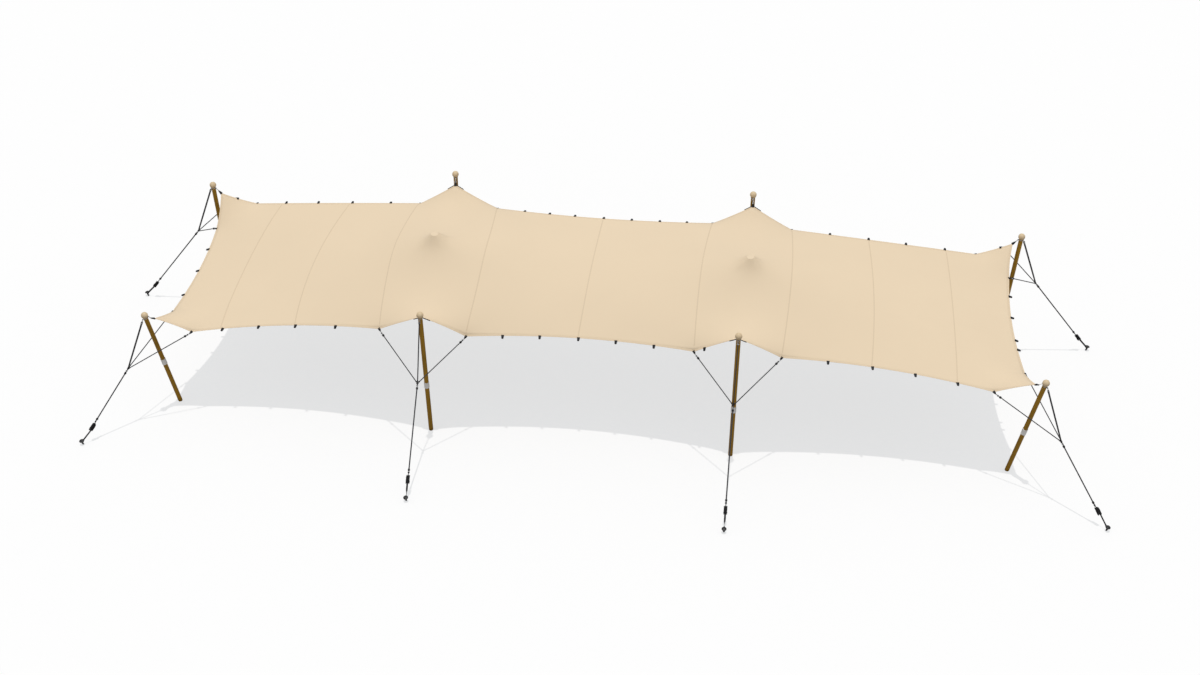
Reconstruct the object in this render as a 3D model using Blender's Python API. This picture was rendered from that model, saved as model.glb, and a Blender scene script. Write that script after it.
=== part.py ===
"""Stretch tent: one sewn canopy, fifteen metres long, on eight edge poles, with two small peaks.

Metres, +Z up. The origin is on the ground under the middle of the canopy, +X runs along the tent
and +Y to its back. Each edge pole leans out against its guy lines, which meet in a knot and run on
to a ratchet, a strap and a ground stake.
"""
import math

import bmesh
import bpy
import numpy as np
from mathutils import Vector
from mathutils.bvhtree import BVHTree

# Driving dimensions
GAP = 0.0003                # running gap between touching pieces
SIDES = 12                  # facets round a pole, sleeve, collar, cap or stiffener
ROPE_SIDES = 6              # facets round a rope
POLE_RADIUS = 0.034
BALL_RADIUS = 0.059         # turned ball cap on an edge pole
BALL_SEAT = 0.048           # the ball is cut flat this far under its middle
CORNER_JOINT = 0.985        # joint of the two lengths of a corner pole, along it from its foot
MIDDLE_JOINT = 1.030        # the same on a middle pole
SLEEVE_LENGTH = 0.100
SLEEVE_WALL = 0.006
COLLAR_DROP = 0.060         # middle of the collar under the middle of the ball
COLLAR_LENGTH = 0.018
COLLAR_WALL = 0.006
COLLAR_PLAY = 0.0005        # radial play of sleeves and collars
LUG_RADIUS = 0.010
KNOT_RADIUS = 0.020
CANOPY_THICKNESS = 0.004
STIFFENER_RADIUS = 0.054    # round stiffener sewn under each peak of the canopy
STIFFENER_THICKNESS = 0.008
STIFFENER_ROUND = 0.003
BURIED = 0.05               # raked pieces start this far under the ground and are cut off level with it
STAKE_RADIUS = 0.014
STAKE_LENGTH = 0.125        # what stands out of the ground
STAKE_HEAD_RADIUS = 0.046
STAKE_HEAD_THICKNESS = 0.022
STAKE_LEAN = math.radians(22.0)
STRAP_HEIGHT = 0.040        # the strap loops round the stake this high
STRAP_WIDTH = 0.030
STAKE_LUG_RADIUS = 0.012

# Fittings along the lines, as distances from the line's start, or back from its end, with their radii
FITTING_NOSE = 0.003        # what meets the canopy is this slim
CLOTH_CLEARANCE = 0.0005
TIP_LINK_PROFILE = ((0.0, FITTING_NOSE), (0.020, FITTING_NOSE), (0.024, 0.012), (0.075, 0.012),
                    (0.080, 0.005))
STROP_PROFILE = ((0.0, 0.005), (0.09, 0.005), (0.10, 0.013))
EDGE_ROPE_PROFILE = ((0.0, FITTING_NOSE), (0.030, FITTING_NOSE), (0.036, 0.015), (0.120, 0.015),
                     (0.126, 0.008))
MAIN_LINE_PROFILE = ((0.0, 0.010), (-0.470, 0.010), (-0.460, 0.018), (-0.370, 0.018), (-0.355, 0.034),
                     (-0.220, 0.034), (-0.200, 0.014))

# Feet of the poles on the ground, and the middles of their balls
FEET = {
    "front_left": (-7.24, -1.44), "front_right": (7.22, -1.56),
    "back_left": (-6.96, 1.20), "back_right": (7.14, 1.28),
    "front_mid_left": (-2.65, -1.69), "front_mid_right": (2.56, -1.74),
    "back_mid_left": (-2.72, 1.70), "back_mid_right": (2.60, 1.72),
}
HEADS = {
    "front_left": (-7.45, -1.72, 2.05), "front_right": (7.50, -1.83, 2.11),
    "back_left": (-7.21, 1.55, 2.66), "back_right": (7.36, 1.75, 2.56),
    "front_mid_left": (-2.64, -1.87, 2.59), "front_mid_right": (2.57, -1.87, 2.63),
    "back_mid_left": (-2.75, 1.88, 3.02), "back_mid_right": (2.62, 1.88, 2.99),
}
# Where each pole's guy lines meet, and where its stake stands
KNOTS = {
    "front_left": (-7.79, -2.05, 1.12), "front_right": (7.86, -2.17, 1.20),
    "back_left": (-7.69, 1.65, 1.55), "back_right": (7.79, 1.90, 1.49),
    "front_mid_left": (-2.67, -2.27, 1.475), "front_mid_right": (2.56, -2.30, 1.545),
    "back_mid_left": (-2.78, 2.30, 1.80), "back_mid_right": (2.64, 2.30, 1.77),
}
STAKES = {
    "front_left": (-8.51, -2.80), "front_right": (8.70, -2.86),
    "back_left": (-8.90, 1.60), "back_right": (8.95, 2.02),
    "front_mid_left": (-2.69, -3.53), "front_mid_right": (2.56, -3.64),
    "back_mid_left": (-2.83, 3.64), "back_mid_right": (2.68, 3.64),
}
# Points of the canopy that the poles pull on
TIPS = {
    "front_left": (-7.31, -1.61, 1.92), "front_right": (7.38, -1.69, 1.96),
    "back_left": (-7.06, 1.50, 2.53), "back_right": (7.22, 1.70, 2.44),
    "front_mid_left": (-2.66, -1.71, 2.43), "front_mid_right": (2.56, -1.71, 2.46),
    "back_mid_left": (-2.72, 1.70, 2.90), "back_mid_right": (2.63, 1.70, 2.86),
}
# Edge clamps of each pole: on the corners the long edge's, then the side's, and else left, then right
CLAMPS = {
    "front_left": ((-6.75, -1.55, 1.64), (-7.30, -0.95, 1.59)),
    "front_right": ((6.76, -1.62, 1.69), (7.32, -1.01, 1.64)),
    "back_left": ((-6.769, 1.530, 2.417), (-7.04, 0.97, 2.10)),
    "back_right": ((7.015, 1.672, 2.361), (7.16, 1.11, 2.10)),
    "front_mid_left": ((-3.44, -1.55, 2.00), (-1.97, -1.54, 1.97)),
    "front_mid_right": ((1.85, -1.55, 2.01), (3.29, -1.57, 2.03)),
    "back_mid_left": ((-3.36, 1.60, 2.53), (-1.95, 1.60, 2.53)),
    "back_mid_right": ((1.94, 1.61, 2.51), (3.34, 1.63, 2.47)),
}
# Corners of the long edges where no rope pulls, between a back tip's rope and the free run
KINKS = {"back_left": (-6.44, 1.60, 2.29), "back_right": (6.60, 1.65, 2.20)}
PEAKS = {"left": (-2.755, -0.01, 2.96), "right": (2.66, -0.03, 2.94)}   # tops of the canopy's two peaks

# Bow of the free edges inward and upward, and the mesh's steps along them
BAY_BOW = 0.12
MIDDLE_BAY_BOW = 0.16
SIDE_BOW = 0.08
TAUT_BOW = 0.02
BAY_LIFT = {"front": 0.02, "back": 0.08}
MIDDLE_BAY_LIFT = {"front": 0.0, "back": 0.04}
LONG_STEPS = (2, 9, 2, 2, 10, 2, 2, 9, 2)
SIDE_STEPS = (2, 8, 2)
PEAK_ROW = sum(SIDE_STEPS) // 2
PEAK_COLUMNS = {"left": sum(LONG_STEPS[:3]), "right": sum(LONG_STEPS[:6])}
PEAK_PATCH = 0.060          # half width of a peak's level top
CROWN_HEIGHT = 0.110        # a peak's top stands this far over the net, in a short steep crown
RELAX_TURNS = 1500

TIMBER = ("timber", (0.16, 0.082, 0.010), 0.55, 0.0)
TURNED = ("turned_wood", (0.73, 0.55, 0.36), 0.45, 0.0)
SLEEVE = ("sleeve", (0.82, 0.82, 0.80), 0.40, 0.0)
FABRIC = ("stretch_fabric", (0.82, 0.66, 0.47), 0.85, 0.0)
ROPE = ("rope_and_fittings", (0.03, 0.03, 0.03), 0.60, 0.0)
STEEL = ("stake_steel", (0.12, 0.12, 0.12), 0.45, 0.6)


def clear_scene():
    for item in list(bpy.data.objects):
        bpy.data.objects.remove(item, do_unlink=True)


def material(kind):
    name, colour, roughness, metallic = kind
    found = bpy.data.materials.get(name)
    if found:
        return found
    made = bpy.data.materials.new(name)
    made.use_nodes = True
    shader = made.node_tree.nodes["Principled BSDF"]
    shader.inputs["Base Color"].default_value = (*colour, 1.0)
    shader.inputs["Roughness"].default_value = roughness
    shader.inputs["Metallic"].default_value = metallic
    return made


def new_object(name, shape, kind):
    """Puts a finished bmesh in the scene under its name."""
    bmesh.ops.recalc_face_normals(shape, faces=shape.faces[:])
    mesh = bpy.data.meshes.new(name)
    shape.to_mesh(mesh)
    shape.free()
    mesh.materials.append(material(kind))
    mesh.shade_smooth()
    mesh.set_sharp_from_angle(angle=math.radians(35.0))
    made = bpy.data.objects.new(name, mesh)
    bpy.context.scene.collection.objects.link(made)
    return made


def turned(start, direction, profile, sides, closed=False):
    """Turns a profile of (distance along the axis, radius) about an axis, as one closed shape."""
    turn = Vector((0.0, 0.0, 1.0)).rotation_difference(direction).to_matrix().to_4x4()
    turn.translation = start
    shape = bmesh.new()
    rings = []
    for along, radius in profile:
        if radius == 0.0:
            rings.append([shape.verts.new(turn @ Vector((0.0, 0.0, along)))])
            continue
        ring = []
        for number in range(sides):
            angle = 2.0 * math.pi * number / sides
            point = Vector((radius * math.cos(angle), radius * math.sin(angle), along))
            ring.append(shape.verts.new(turn @ point))
        rings.append(ring)
    pairs = list(zip(rings, rings[1:]))
    if closed:
        pairs.append((rings[-1], rings[0]))
    for lower, upper in pairs:
        for number in range(sides):
            after = (number + 1) % sides
            if len(lower) == 1:
                shape.faces.new((lower[0], upper[number], upper[after]))
            elif len(upper) == 1:
                shape.faces.new((lower[number], upper[0], lower[after]))
            else:
                shape.faces.new((lower[number], lower[after], upper[after], upper[number]))
    if not closed:
        for ring in (rings[0], rings[-1]):
            if len(ring) > 1:
                shape.faces.new(ring)
    bmesh.ops.recalc_face_normals(shape, faces=shape.faces[:])
    return shape


def band(start, direction, low, high, inner, outer, sides):
    """A ring of rectangular section round an axis, between two distances along it."""
    profile = ((low, inner), (low, outer), (high, outer), (high, inner))
    return turned(start, direction, profile, sides, closed=True)


def cut_at_ground(shape):
    """Cuts a raked piece off level with the ground."""
    everything = shape.verts[:] + shape.edges[:] + shape.faces[:]
    cut = bmesh.ops.bisect_plane(shape, geom=everything, dist=1e-6, plane_co=(0.0, 0.0, 0.0),
                                 plane_no=(0.0, 0.0, 1.0), clear_inner=True)
    edges = [item for item in cut["geom_cut"] if isinstance(item, bmesh.types.BMEdge)]
    bmesh.ops.edgeloop_fill(shape, edges=edges)


def ball_profile(steps):
    """Outline of a ball cap from its flat seat up to its top, with distances from its middle."""
    low = math.asin(-BALL_SEAT / BALL_RADIUS)
    outline = []
    for number in range(steps + 1):
        angle = low + (math.pi / 2.0 - low) * number / steps
        radius = BALL_RADIUS * math.cos(angle) if number < steps else 0.0
        outline.append((BALL_RADIUS * math.sin(angle), radius))
    return outline


def pole_axis(name):
    """Foot, direction and length to the ball's middle of an edge pole."""
    foot = Vector((*FEET[name], 0.0))
    axis = Vector(HEADS[name]) - foot
    return foot, axis.normalized(), axis.length


def edge_pole(name):
    foot, direction, length = pole_axis(name)
    top = length - BALL_SEAT - GAP
    shape = turned(foot, direction, ((-BURIED, POLE_RADIUS), (top, POLE_RADIUS)), SIDES)
    cut_at_ground(shape)
    new_object("pole_" + name, shape, TIMBER)


def ball_cap(name):
    direction = pole_axis(name)[1]
    shape = turned(Vector(HEADS[name]), direction, ball_profile(6), SIDES)
    new_object("ball_cap_" + name, shape, TURNED)


def sleeve(name):
    foot, direction, _ = pole_axis(name)
    inner = POLE_RADIUS + COLLAR_PLAY
    low = (MIDDLE_JOINT if "_mid_" in name else CORNER_JOINT) - SLEEVE_LENGTH / 2.0
    shape = band(foot, direction, low, low + SLEEVE_LENGTH, inner, inner + SLEEVE_WALL, SIDES)
    new_object("sleeve_" + name, shape, SLEEVE)


def peak_stiffener(name):
    x, y, top = PEAKS[name]
    low = Vector((x, y, top - CANOPY_THICKNESS - GAP - STIFFENER_THICKNESS))
    profile = ((0.0, STIFFENER_RADIUS - STIFFENER_ROUND), (STIFFENER_ROUND, STIFFENER_RADIUS),
               (STIFFENER_THICKNESS, STIFFENER_RADIUS))
    shape = turned(low, Vector((0.0, 0.0, 1.0)), profile, SIDES)
    new_object("peak_stiffener_" + name, shape, FABRIC)


def edge_run(start, end, bow, steps):
    """Points from start towards end, bowed by a vector at the middle, without the end itself."""
    share = np.linspace(0.0, 1.0, steps, endpoint=False)[:, None]
    straight = np.array(start) * (1.0 - share) + np.array(end) * share
    return straight + np.array(bow) * 4.0 * share * (1.0 - share)


def edge_line(stations, bows, steps):
    """One whole edge of the canopy through its tips and clamps."""
    runs = [edge_run(a, b, bow, count) for a, b, bow, count in zip(stations, stations[1:], bows, steps)]
    return np.vstack(runs + [np.array(stations[-1])[None, :]])


def long_stations(side):
    corner_left, corner_right = side + "_left", side + "_right"
    mid_left, mid_right = side + "_mid_left", side + "_mid_right"
    bend_left, bend_right = [KINKS.get(name, CLAMPS[name][0]) for name in (corner_left, corner_right)]
    return [TIPS[corner_left], bend_left, CLAMPS[mid_left][0], TIPS[mid_left],
            CLAMPS[mid_left][1], CLAMPS[mid_right][0], TIPS[mid_right], CLAMPS[mid_right][1],
            bend_right, TIPS[corner_right]]


def long_edge(side, inward):
    taut = (0.0, inward * TAUT_BOW, 0.0)
    bay = (0.0, inward * BAY_BOW, BAY_LIFT[side])
    middle_bay = (0.0, inward * MIDDLE_BAY_BOW, MIDDLE_BAY_LIFT[side])
    bows = (taut, bay, taut, taut, middle_bay, taut, taut, bay, taut)
    return edge_line(long_stations(side), bows, LONG_STEPS)


def short_edge(hand, inward):
    fore, aft = "front_" + hand, "back_" + hand
    stations = (TIPS[fore], CLAMPS[fore][1], CLAMPS[aft][1], TIPS[aft])
    taut = (inward * TAUT_BOW, 0.0, 0.0)
    return edge_line(stations, (taut, (inward * SIDE_BOW, 0.0, 0.0), taut), SIDE_STEPS)


def canopy_points():
    """The canopy's middle surface as rows of points from front to back, relaxed like a taut net."""
    front = long_edge("front", 1.0)
    back = long_edge("back", -1.0)
    sides = (short_edge("left", 1.0), short_edge("right", -1.0))
    rows = len(sides[0])
    share = np.linspace(0.0, 1.0, rows)[:, None, None]
    grid = front[None, :, :] * (1.0 - share) + back[None, :, :] * share
    grid[:, 0, :] = sides[0]
    grid[:, -1, :] = sides[1]
    held = {}
    for hand, column in PEAK_COLUMNS.items():
        for across in (-1, 0, 1):
            for along in (-1, 0, 1):
                step = np.array((along * PEAK_PATCH, across * PEAK_PATCH, -CROWN_HEIGHT))
                held[PEAK_ROW + across, column + along] = np.array(PEAKS[hand]) + step
    for _ in range(RELAX_TURNS):
        middle = (grid[:-2, 1:-1] + grid[2:, 1:-1] + grid[1:-1, :-2] + grid[1:-1, 2:]) / 4.0
        grid[1:-1, 1:-1] = middle
        for place, point in held.items():
            grid[place] = point
    for place in held:
        grid[place][2] += CROWN_HEIGHT
    return grid


def canopy():
    grid = canopy_points()
    rows, columns = grid.shape[:2]
    shape = bmesh.new()
    points = [[shape.verts.new(grid[row, column]) for column in range(columns)] for row in range(rows)]
    for row in range(rows - 1):
        for column in range(columns - 1):
            shape.faces.new((points[row][column], points[row][column + 1],
                             points[row + 1][column + 1], points[row + 1][column]))
    shape.normal_update()
    mesh = bpy.data.meshes.new("canopy")
    shape.to_mesh(mesh)
    shape.free()
    mesh.materials.append(material(FABRIC))
    mesh.shade_smooth()
    made = bpy.data.objects.new("canopy", mesh)
    bpy.context.scene.collection.objects.link(made)
    thick = made.modifiers.new("Solidify", "SOLIDIFY")
    thick.thickness = CANOPY_THICKNESS
    thick.offset = -1.0
    return made


def solid_tree(item):
    """Search tree of an object's finished faces."""
    ready = item.evaluated_get(bpy.context.evaluated_depsgraph_get())
    return BVHTree.FromPolygons([vert.co for vert in ready.data.vertices],
                                [face.vertices[:] for face in ready.data.polygons])


def seated_start(tree, corner, direction, radius):
    """Moves out from a corner of the canopy until a nose of this radius just clears the fabric."""
    side = direction.orthogonal().normalized()
    other = direction.cross(side)
    turns = [2.0 * math.pi * number / 16 for number in range(16)]
    middle = corner.copy()
    clear = 0.0
    while clear < CLOTH_CLEARANCE:
        middle += direction * 0.0001
        rim = [middle + (side * math.cos(turn) + other * math.sin(turn)) * radius for turn in turns]
        clear = min(tree.find_nearest(point)[3] for point in rim + [middle])
    return middle


def rope_piece(start, end, profile):
    """A turned piece from start to end; a profile's distances below 0 count back from the end."""
    along = end - start
    full = along.length
    outline = [(place if place >= 0.0 else full + place, radius) for place, radius in profile]
    outline.append((full, profile[-1][1]))
    return turned(start, along.normalized(), outline, ROPE_SIDES)


def ball(middle, radius):
    shape = bmesh.new()
    bmesh.ops.create_icosphere(shape, subdivisions=1, radius=radius)
    bmesh.ops.translate(shape, verts=shape.verts[:], vec=middle)
    return shape


def guy_set(name, tree):
    """A pole's rigging: collar, link to the canopy's tip, strop, two edge ropes and the line to the stake."""
    head, knot = Vector(HEADS[name]), Vector(KNOTS[name])
    direction = pole_axis(name)[1]
    middle = head - direction * COLLAR_DROP
    inner = POLE_RADIUS + COLLAR_PLAY
    outer = inner + COLLAR_WALL
    half = COLLAR_LENGTH / 2.0
    parts = [band(middle, direction, -half, half, inner, outer, SIDES)]
    tip = Vector(TIPS[name])
    lugs = []
    for target in (knot, tip):
        flat = target - middle
        flat -= direction * flat.dot(direction)
        lugs.append(middle + flat.normalized() * (outer + 0.5 * LUG_RADIUS))
        parts.append(ball(lugs[-1], LUG_RADIUS))
    parts.append(rope_piece(lugs[0], knot, STROP_PROFILE))
    start = seated_start(tree, tip, (lugs[1] - tip).normalized(), FITTING_NOSE)
    parts.append(rope_piece(start, lugs[1], TIP_LINK_PROFILE))
    for clamp in CLAMPS[name]:
        corner = Vector(clamp)
        start = seated_start(tree, corner, (knot - corner).normalized(), FITTING_NOSE)
        parts.append(rope_piece(start, knot, EDGE_ROPE_PROFILE))
    stake = stake_axis(name)
    hold = stake[0] + stake[1] * STRAP_HEIGHT
    reach = knot - hold
    reach -= stake[1] * reach.dot(stake[1])
    wall = STAKE_RADIUS + COLLAR_PLAY
    lug = hold + reach.normalized() * (wall + COLLAR_WALL + 0.8 * LUG_RADIUS)
    parts.append(band(hold, stake[1], -STRAP_WIDTH / 2.0, STRAP_WIDTH / 2.0, wall, wall + COLLAR_WALL, SIDES))
    parts.append(ball(lug, STAKE_LUG_RADIUS))
    parts.append(rope_piece(knot, lug, MAIN_LINE_PROFILE))
    joined = new_object("guy_set_" + name, ball(knot, KNOT_RADIUS), ROPE)
    group = bpy.data.collections.new("parts_of_" + name)
    for number, shape in enumerate(parts):
        piece = new_object("piece_%s_%d" % (name, number), shape, ROPE)
        bpy.context.scene.collection.objects.unlink(piece)
        group.objects.link(piece)
        piece.hide_render = True
        piece.display_type = "WIRE"
    bpy.context.scene.collection.children.link(group)
    join = joined.modifiers.new("Boolean", "BOOLEAN")
    join.operation = "UNION"
    join.operand_type = "COLLECTION"
    join.collection = group
    join.solver = "EXACT"


def stake_axis(name):
    """Foot and direction of a ground stake, which leans away from its pole."""
    foot = Vector((*STAKES[name], 0.0))
    away = foot - Vector((*FEET[name], 0.0))
    away.normalize()
    return foot, (away * math.sin(STAKE_LEAN) + Vector((0.0, 0.0, math.cos(STAKE_LEAN)))).normalized()


def ground_stake(name):
    foot, direction = stake_axis(name)
    head = STAKE_LENGTH - STAKE_HEAD_THICKNESS
    rim = STAKE_HEAD_RADIUS
    outline = ((-BURIED, STAKE_RADIUS), (head, STAKE_RADIUS), (head + 0.002, rim - 0.004),
               (head + 0.008, rim), (head + 0.014, rim - 0.004), (STAKE_LENGTH, rim / 2.0),
               (STAKE_LENGTH + 0.003, 0.0))
    shape = turned(foot, direction, outline, SIDES)
    cut_at_ground(shape)
    new_object("ground_stake_" + name, shape, STEEL)


clear_scene()
fabric = canopy()
bpy.context.view_layer.update()
fabric_tree = solid_tree(fabric)
for pole in FEET:
    edge_pole(pole)
    ball_cap(pole)
    sleeve(pole)
    ground_stake(pole)
    guy_set(pole, fabric_tree)
for hand in PEAKS:
    peak_stiffener(hand)
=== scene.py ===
import math

import bmesh
import bpy
import numpy as np
from mathutils import Matrix, Vector
from mathutils.bvhtree import BVHTree


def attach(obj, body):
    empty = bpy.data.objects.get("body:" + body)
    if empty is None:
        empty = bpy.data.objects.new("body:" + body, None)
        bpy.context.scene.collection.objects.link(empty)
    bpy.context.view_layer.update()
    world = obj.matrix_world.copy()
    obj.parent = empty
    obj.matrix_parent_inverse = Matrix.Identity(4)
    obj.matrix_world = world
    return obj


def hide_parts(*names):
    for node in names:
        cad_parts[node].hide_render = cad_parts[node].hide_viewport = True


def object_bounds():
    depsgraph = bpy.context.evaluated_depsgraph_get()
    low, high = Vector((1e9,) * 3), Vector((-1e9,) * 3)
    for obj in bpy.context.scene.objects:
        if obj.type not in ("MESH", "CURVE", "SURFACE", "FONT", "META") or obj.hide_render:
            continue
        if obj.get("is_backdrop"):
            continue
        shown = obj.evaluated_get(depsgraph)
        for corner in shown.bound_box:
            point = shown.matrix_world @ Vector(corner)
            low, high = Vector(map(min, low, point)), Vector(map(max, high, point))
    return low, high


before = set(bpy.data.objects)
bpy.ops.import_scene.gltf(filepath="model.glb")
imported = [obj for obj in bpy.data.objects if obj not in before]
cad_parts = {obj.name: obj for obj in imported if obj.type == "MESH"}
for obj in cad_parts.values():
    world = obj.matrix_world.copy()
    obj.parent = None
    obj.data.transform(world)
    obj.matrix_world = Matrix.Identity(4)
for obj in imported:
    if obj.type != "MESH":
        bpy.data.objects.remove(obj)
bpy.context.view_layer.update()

# Canopy. One sheet of coated two-way stretch knit, sewn from ten panels. It has no frame of its own:
# guy lines pull it at twenty-four points of its edge, so it hangs between the poles like a taut net,
# with free edges that curve inward and two small round peaks on its middle line.
TIPS = {
    "front_left": (-7.34, -1.62, 1.925), "front_right": (7.38, -1.69, 1.96),
    "back_left": (-7.06, 1.50, 2.53), "back_right": (7.22, 1.70, 2.44),
    "front_mid_left": (-2.66, -1.71, 2.43), "front_mid_right": (2.56, -1.71, 2.46),
    "back_mid_left": (-2.72, 1.70, 2.90), "back_mid_right": (2.63, 1.70, 2.86),
}
CLAMPS = {
    "front_left": ((-6.75, -1.55, 1.64), (-7.30, -0.95, 1.59)),
    "front_right": ((6.76, -1.62, 1.69), (7.32, -1.01, 1.64)),
    "back_left": ((-6.769, 1.527, 2.417), (-7.04, 0.97, 2.10)),
    "back_right": ((7.015, 1.666, 2.361), (7.16, 1.11, 2.10)),
    "front_mid_left": ((-3.44, -1.55, 2.00), (-1.97, -1.54, 1.97)),
    "front_mid_right": ((1.85, -1.55, 2.01), (3.29, -1.57, 2.03)),
    "back_mid_left": ((-3.36, 1.60, 2.53), (-1.95, 1.60, 2.53)),
    "back_mid_right": ((1.94, 1.61, 2.51), (3.34, 1.63, 2.47)),
}
KINKS = {"back_left": (-6.44, 1.60, 2.29), "back_right": (6.60, 1.65, 2.20)}   # where no rope pulls
PEAKS = {"left": (-2.755, -0.01, 2.96), "right": (2.66, -0.03, 2.94)}
PEAK_TOP_RADIUS = 0.064
CROWN_HEIGHT, CROWN_FADE = 0.110, 0.090
CLOTH_THICKNESS = 0.0016
BAY_BOW, MIDDLE_BAY_BOW, SIDE_BOW, TAUT_BOW = 0.12, 0.16, 0.08, 0.02
BAY_LIFT = {"front": 0.02, "back": 0.08}
MIDDLE_BAY_LIFT = {"front": 0.0, "back": 0.04}
NET_FINENESS = 5
LONG_STEPS = [steps * NET_FINENESS for steps in (2, 9, 2, 2, 10, 2, 2, 9, 2)]
SIDE_STEPS = [steps * NET_FINENESS for steps in (2, 8, 2)]
PEAK_ROW = sum(SIDE_STEPS) // 2
PEAK_COLUMNS = {"left": sum(LONG_STEPS[:3]), "right": sum(LONG_STEPS[:6])}
RELAX_TURNS = 9000
CLOTH_COLOUR = (0.836, 0.682, 0.488)
WALE, KNIT_DEPTH = 0.0018, 0.00025
UPRIGHT = Vector((0.0, 0.0, 1.0))


def edge_line(stations, bows, steps):
    """One edge of the canopy through its tips and clamps, each run bowed by its own vector."""
    runs = []
    for start, end, bow, count in zip(stations, stations[1:], bows, steps):
        share = np.linspace(0.0, 1.0, count, endpoint=False)[:, None]
        straight = np.array(start) * (1.0 - share) + np.array(end) * share
        runs.append(straight + np.array(bow) * 4.0 * share * (1.0 - share))
    return np.vstack(runs + [np.array(stations[-1])[None, :]])


def long_edge(side, inward):
    outer_left, outer_right = side + "_left", side + "_right"
    mid_left, mid_right = side + "_mid_left", side + "_mid_right"
    bend_left, bend_right = [KINKS.get(name, CLAMPS[name][0]) for name in (outer_left, outer_right)]
    stations = [TIPS[outer_left], bend_left, CLAMPS[mid_left][0], TIPS[mid_left],
                CLAMPS[mid_left][1], CLAMPS[mid_right][0], TIPS[mid_right], CLAMPS[mid_right][1],
                bend_right, TIPS[outer_right]]
    taut = (0.0, inward * TAUT_BOW, 0.0)
    bay = (0.0, inward * BAY_BOW, BAY_LIFT[side])
    middle = (0.0, inward * MIDDLE_BAY_BOW, MIDDLE_BAY_LIFT[side])
    return edge_line(stations, (taut, bay, taut, taut, middle, taut, taut, bay, taut), LONG_STEPS)


def short_edge(hand, inward):
    fore, aft = "front_" + hand, "back_" + hand
    stations = (TIPS[fore], CLAMPS[fore][1], CLAMPS[aft][1], TIPS[aft])
    taut = (inward * TAUT_BOW, 0.0, 0.0)
    return edge_line(stations, (taut, (inward * SIDE_BOW, 0.0, 0.0), taut), SIDE_STEPS)


def taut_net():
    """The cloth's top surface as rows of points from front to back, with each peak's round top level.

    The net is relaxed to the foot of each crown, and the crown rises from it in a short steep rim.
    """
    front, back = long_edge("front", 1.0), long_edge("back", -1.0)
    share = np.linspace(0.0, 1.0, sum(SIDE_STEPS) + 1)[:, None, None]
    points = front[None] * (1.0 - share) + back[None] * share
    points[:, 0], points[:, -1] = short_edge("left", 1.0), short_edge("right", -1.0)
    spread = np.linspace(-1.0, 1.0, 2 * NET_FINENESS + 1)
    along, across = np.meshgrid(spread, spread)
    level = np.stack((along * np.sqrt(1.0 - across ** 2 / 2.0), across * np.sqrt(1.0 - along ** 2 / 2.0),
                      np.zeros_like(along)), axis=-1) * PEAK_TOP_RADIUS
    tall = slice(PEAK_ROW - NET_FINENESS, PEAK_ROW + NET_FINENESS + 1)
    for _ in range(RELAX_TURNS):
        points[1:-1, 1:-1] = (points[:-2, 1:-1] + points[2:, 1:-1]
                              + points[1:-1, :-2] + points[1:-1, 2:]) / 4.0
        for hand, column in PEAK_COLUMNS.items():
            patch = level + np.array(PEAKS[hand]) - np.array((0.0, 0.0, CROWN_HEIGHT))
            points[tall, column - NET_FINENESS:column + NET_FINENESS + 1] = patch
    for peak in PEAKS.values():
        away = np.linalg.norm(points[1:-1, 1:-1, :2] - np.array(peak[:2]), axis=2)
        beyond = np.maximum(away - PEAK_TOP_RADIUS, 0.0) / CROWN_FADE
        points[1:-1, 1:-1, 2] += CROWN_HEIGHT * np.exp(-beyond)
    return points


def skin(rows, ring=True):
    """A surface through rows of points. Its UV is in metres, but in shares of the way round a ring."""
    rows = np.asarray(rows, float)
    if ring:
        rows = np.concatenate((rows, rows[:, :1]), axis=1)
    count, width = rows.shape[:2]
    across, along = np.zeros((count, width)), np.zeros((count, width))
    across[:, 1:] = np.cumsum(np.linalg.norm(np.diff(rows, axis=1), axis=2), axis=1)
    along[1:] = np.cumsum(np.linalg.norm(np.diff(rows, axis=0), axis=2), axis=0)
    if ring:
        across /= across[:, -1:]
        along[:] = along.mean(axis=1, keepdims=True)
    shape = bmesh.new()
    bmesh.ops.create_grid(shape, x_segments=width - 1, y_segments=count - 1, size=1.0)
    shape.verts.ensure_lookup_table()
    for vert, point in zip(shape.verts, rows.reshape(-1, 3)):
        vert.co = point
    lay = shape.loops.layers.uv.new("lay")
    for face in shape.faces:
        for corner in face.loops:
            row, column = divmod(corner.vert.index, width)
            corner[lay].uv = (across[row, column], along[row, column])
    if ring:
        bmesh.ops.remove_doubles(shape, verts=shape.verts[:], dist=1e-6)
        bmesh.ops.holes_fill(shape, edges=[edge for edge in shape.edges if edge.is_boundary])
        bmesh.ops.recalc_face_normals(shape, faces=shape.faces[:])
    return shape


def put(name, shape, material):
    """Puts a finished bmesh in the scene."""
    mesh = bpy.data.meshes.new(name)
    shape.to_mesh(mesh)
    shape.free()
    mesh.materials.append(material)
    made = bpy.data.objects.new(name, mesh)
    bpy.context.scene.collection.objects.link(made)
    return made


def piece(name, shape, material, replaces=(), smooth_below=40.0):
    """Puts a finished bmesh in the scene as a piece of the tent."""
    made = put(name, shape, material)
    made.data.shade_smooth()
    made.data.set_sharp_from_angle(angle=math.radians(smooth_below))
    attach(made, "root")
    if replaces:
        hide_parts(*replaces)
    return made


def node(tree, kind, inputs=None, **settings):
    """Adds a shader node. Each input is a value or the socket that feeds it. A colour needs no alpha."""
    made = tree.nodes.new("ShaderNode" + kind)
    for name, value in settings.items():
        setattr(made, name, value)
    for name, value in (inputs or {}).items():
        socket = made.inputs[name]
        if isinstance(value, bpy.types.NodeSocket):
            tree.links.new(value, socket)
        else:
            socket.default_value = (*value, 1.0) if socket.type == "RGBA" else value
    return made


def sums(tree, operation, *values):
    return node(tree, "Math", dict(enumerate(values)), operation=operation).outputs[0]


def plus(tree, *values):
    return sums(tree, "ADD", *values)


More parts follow.
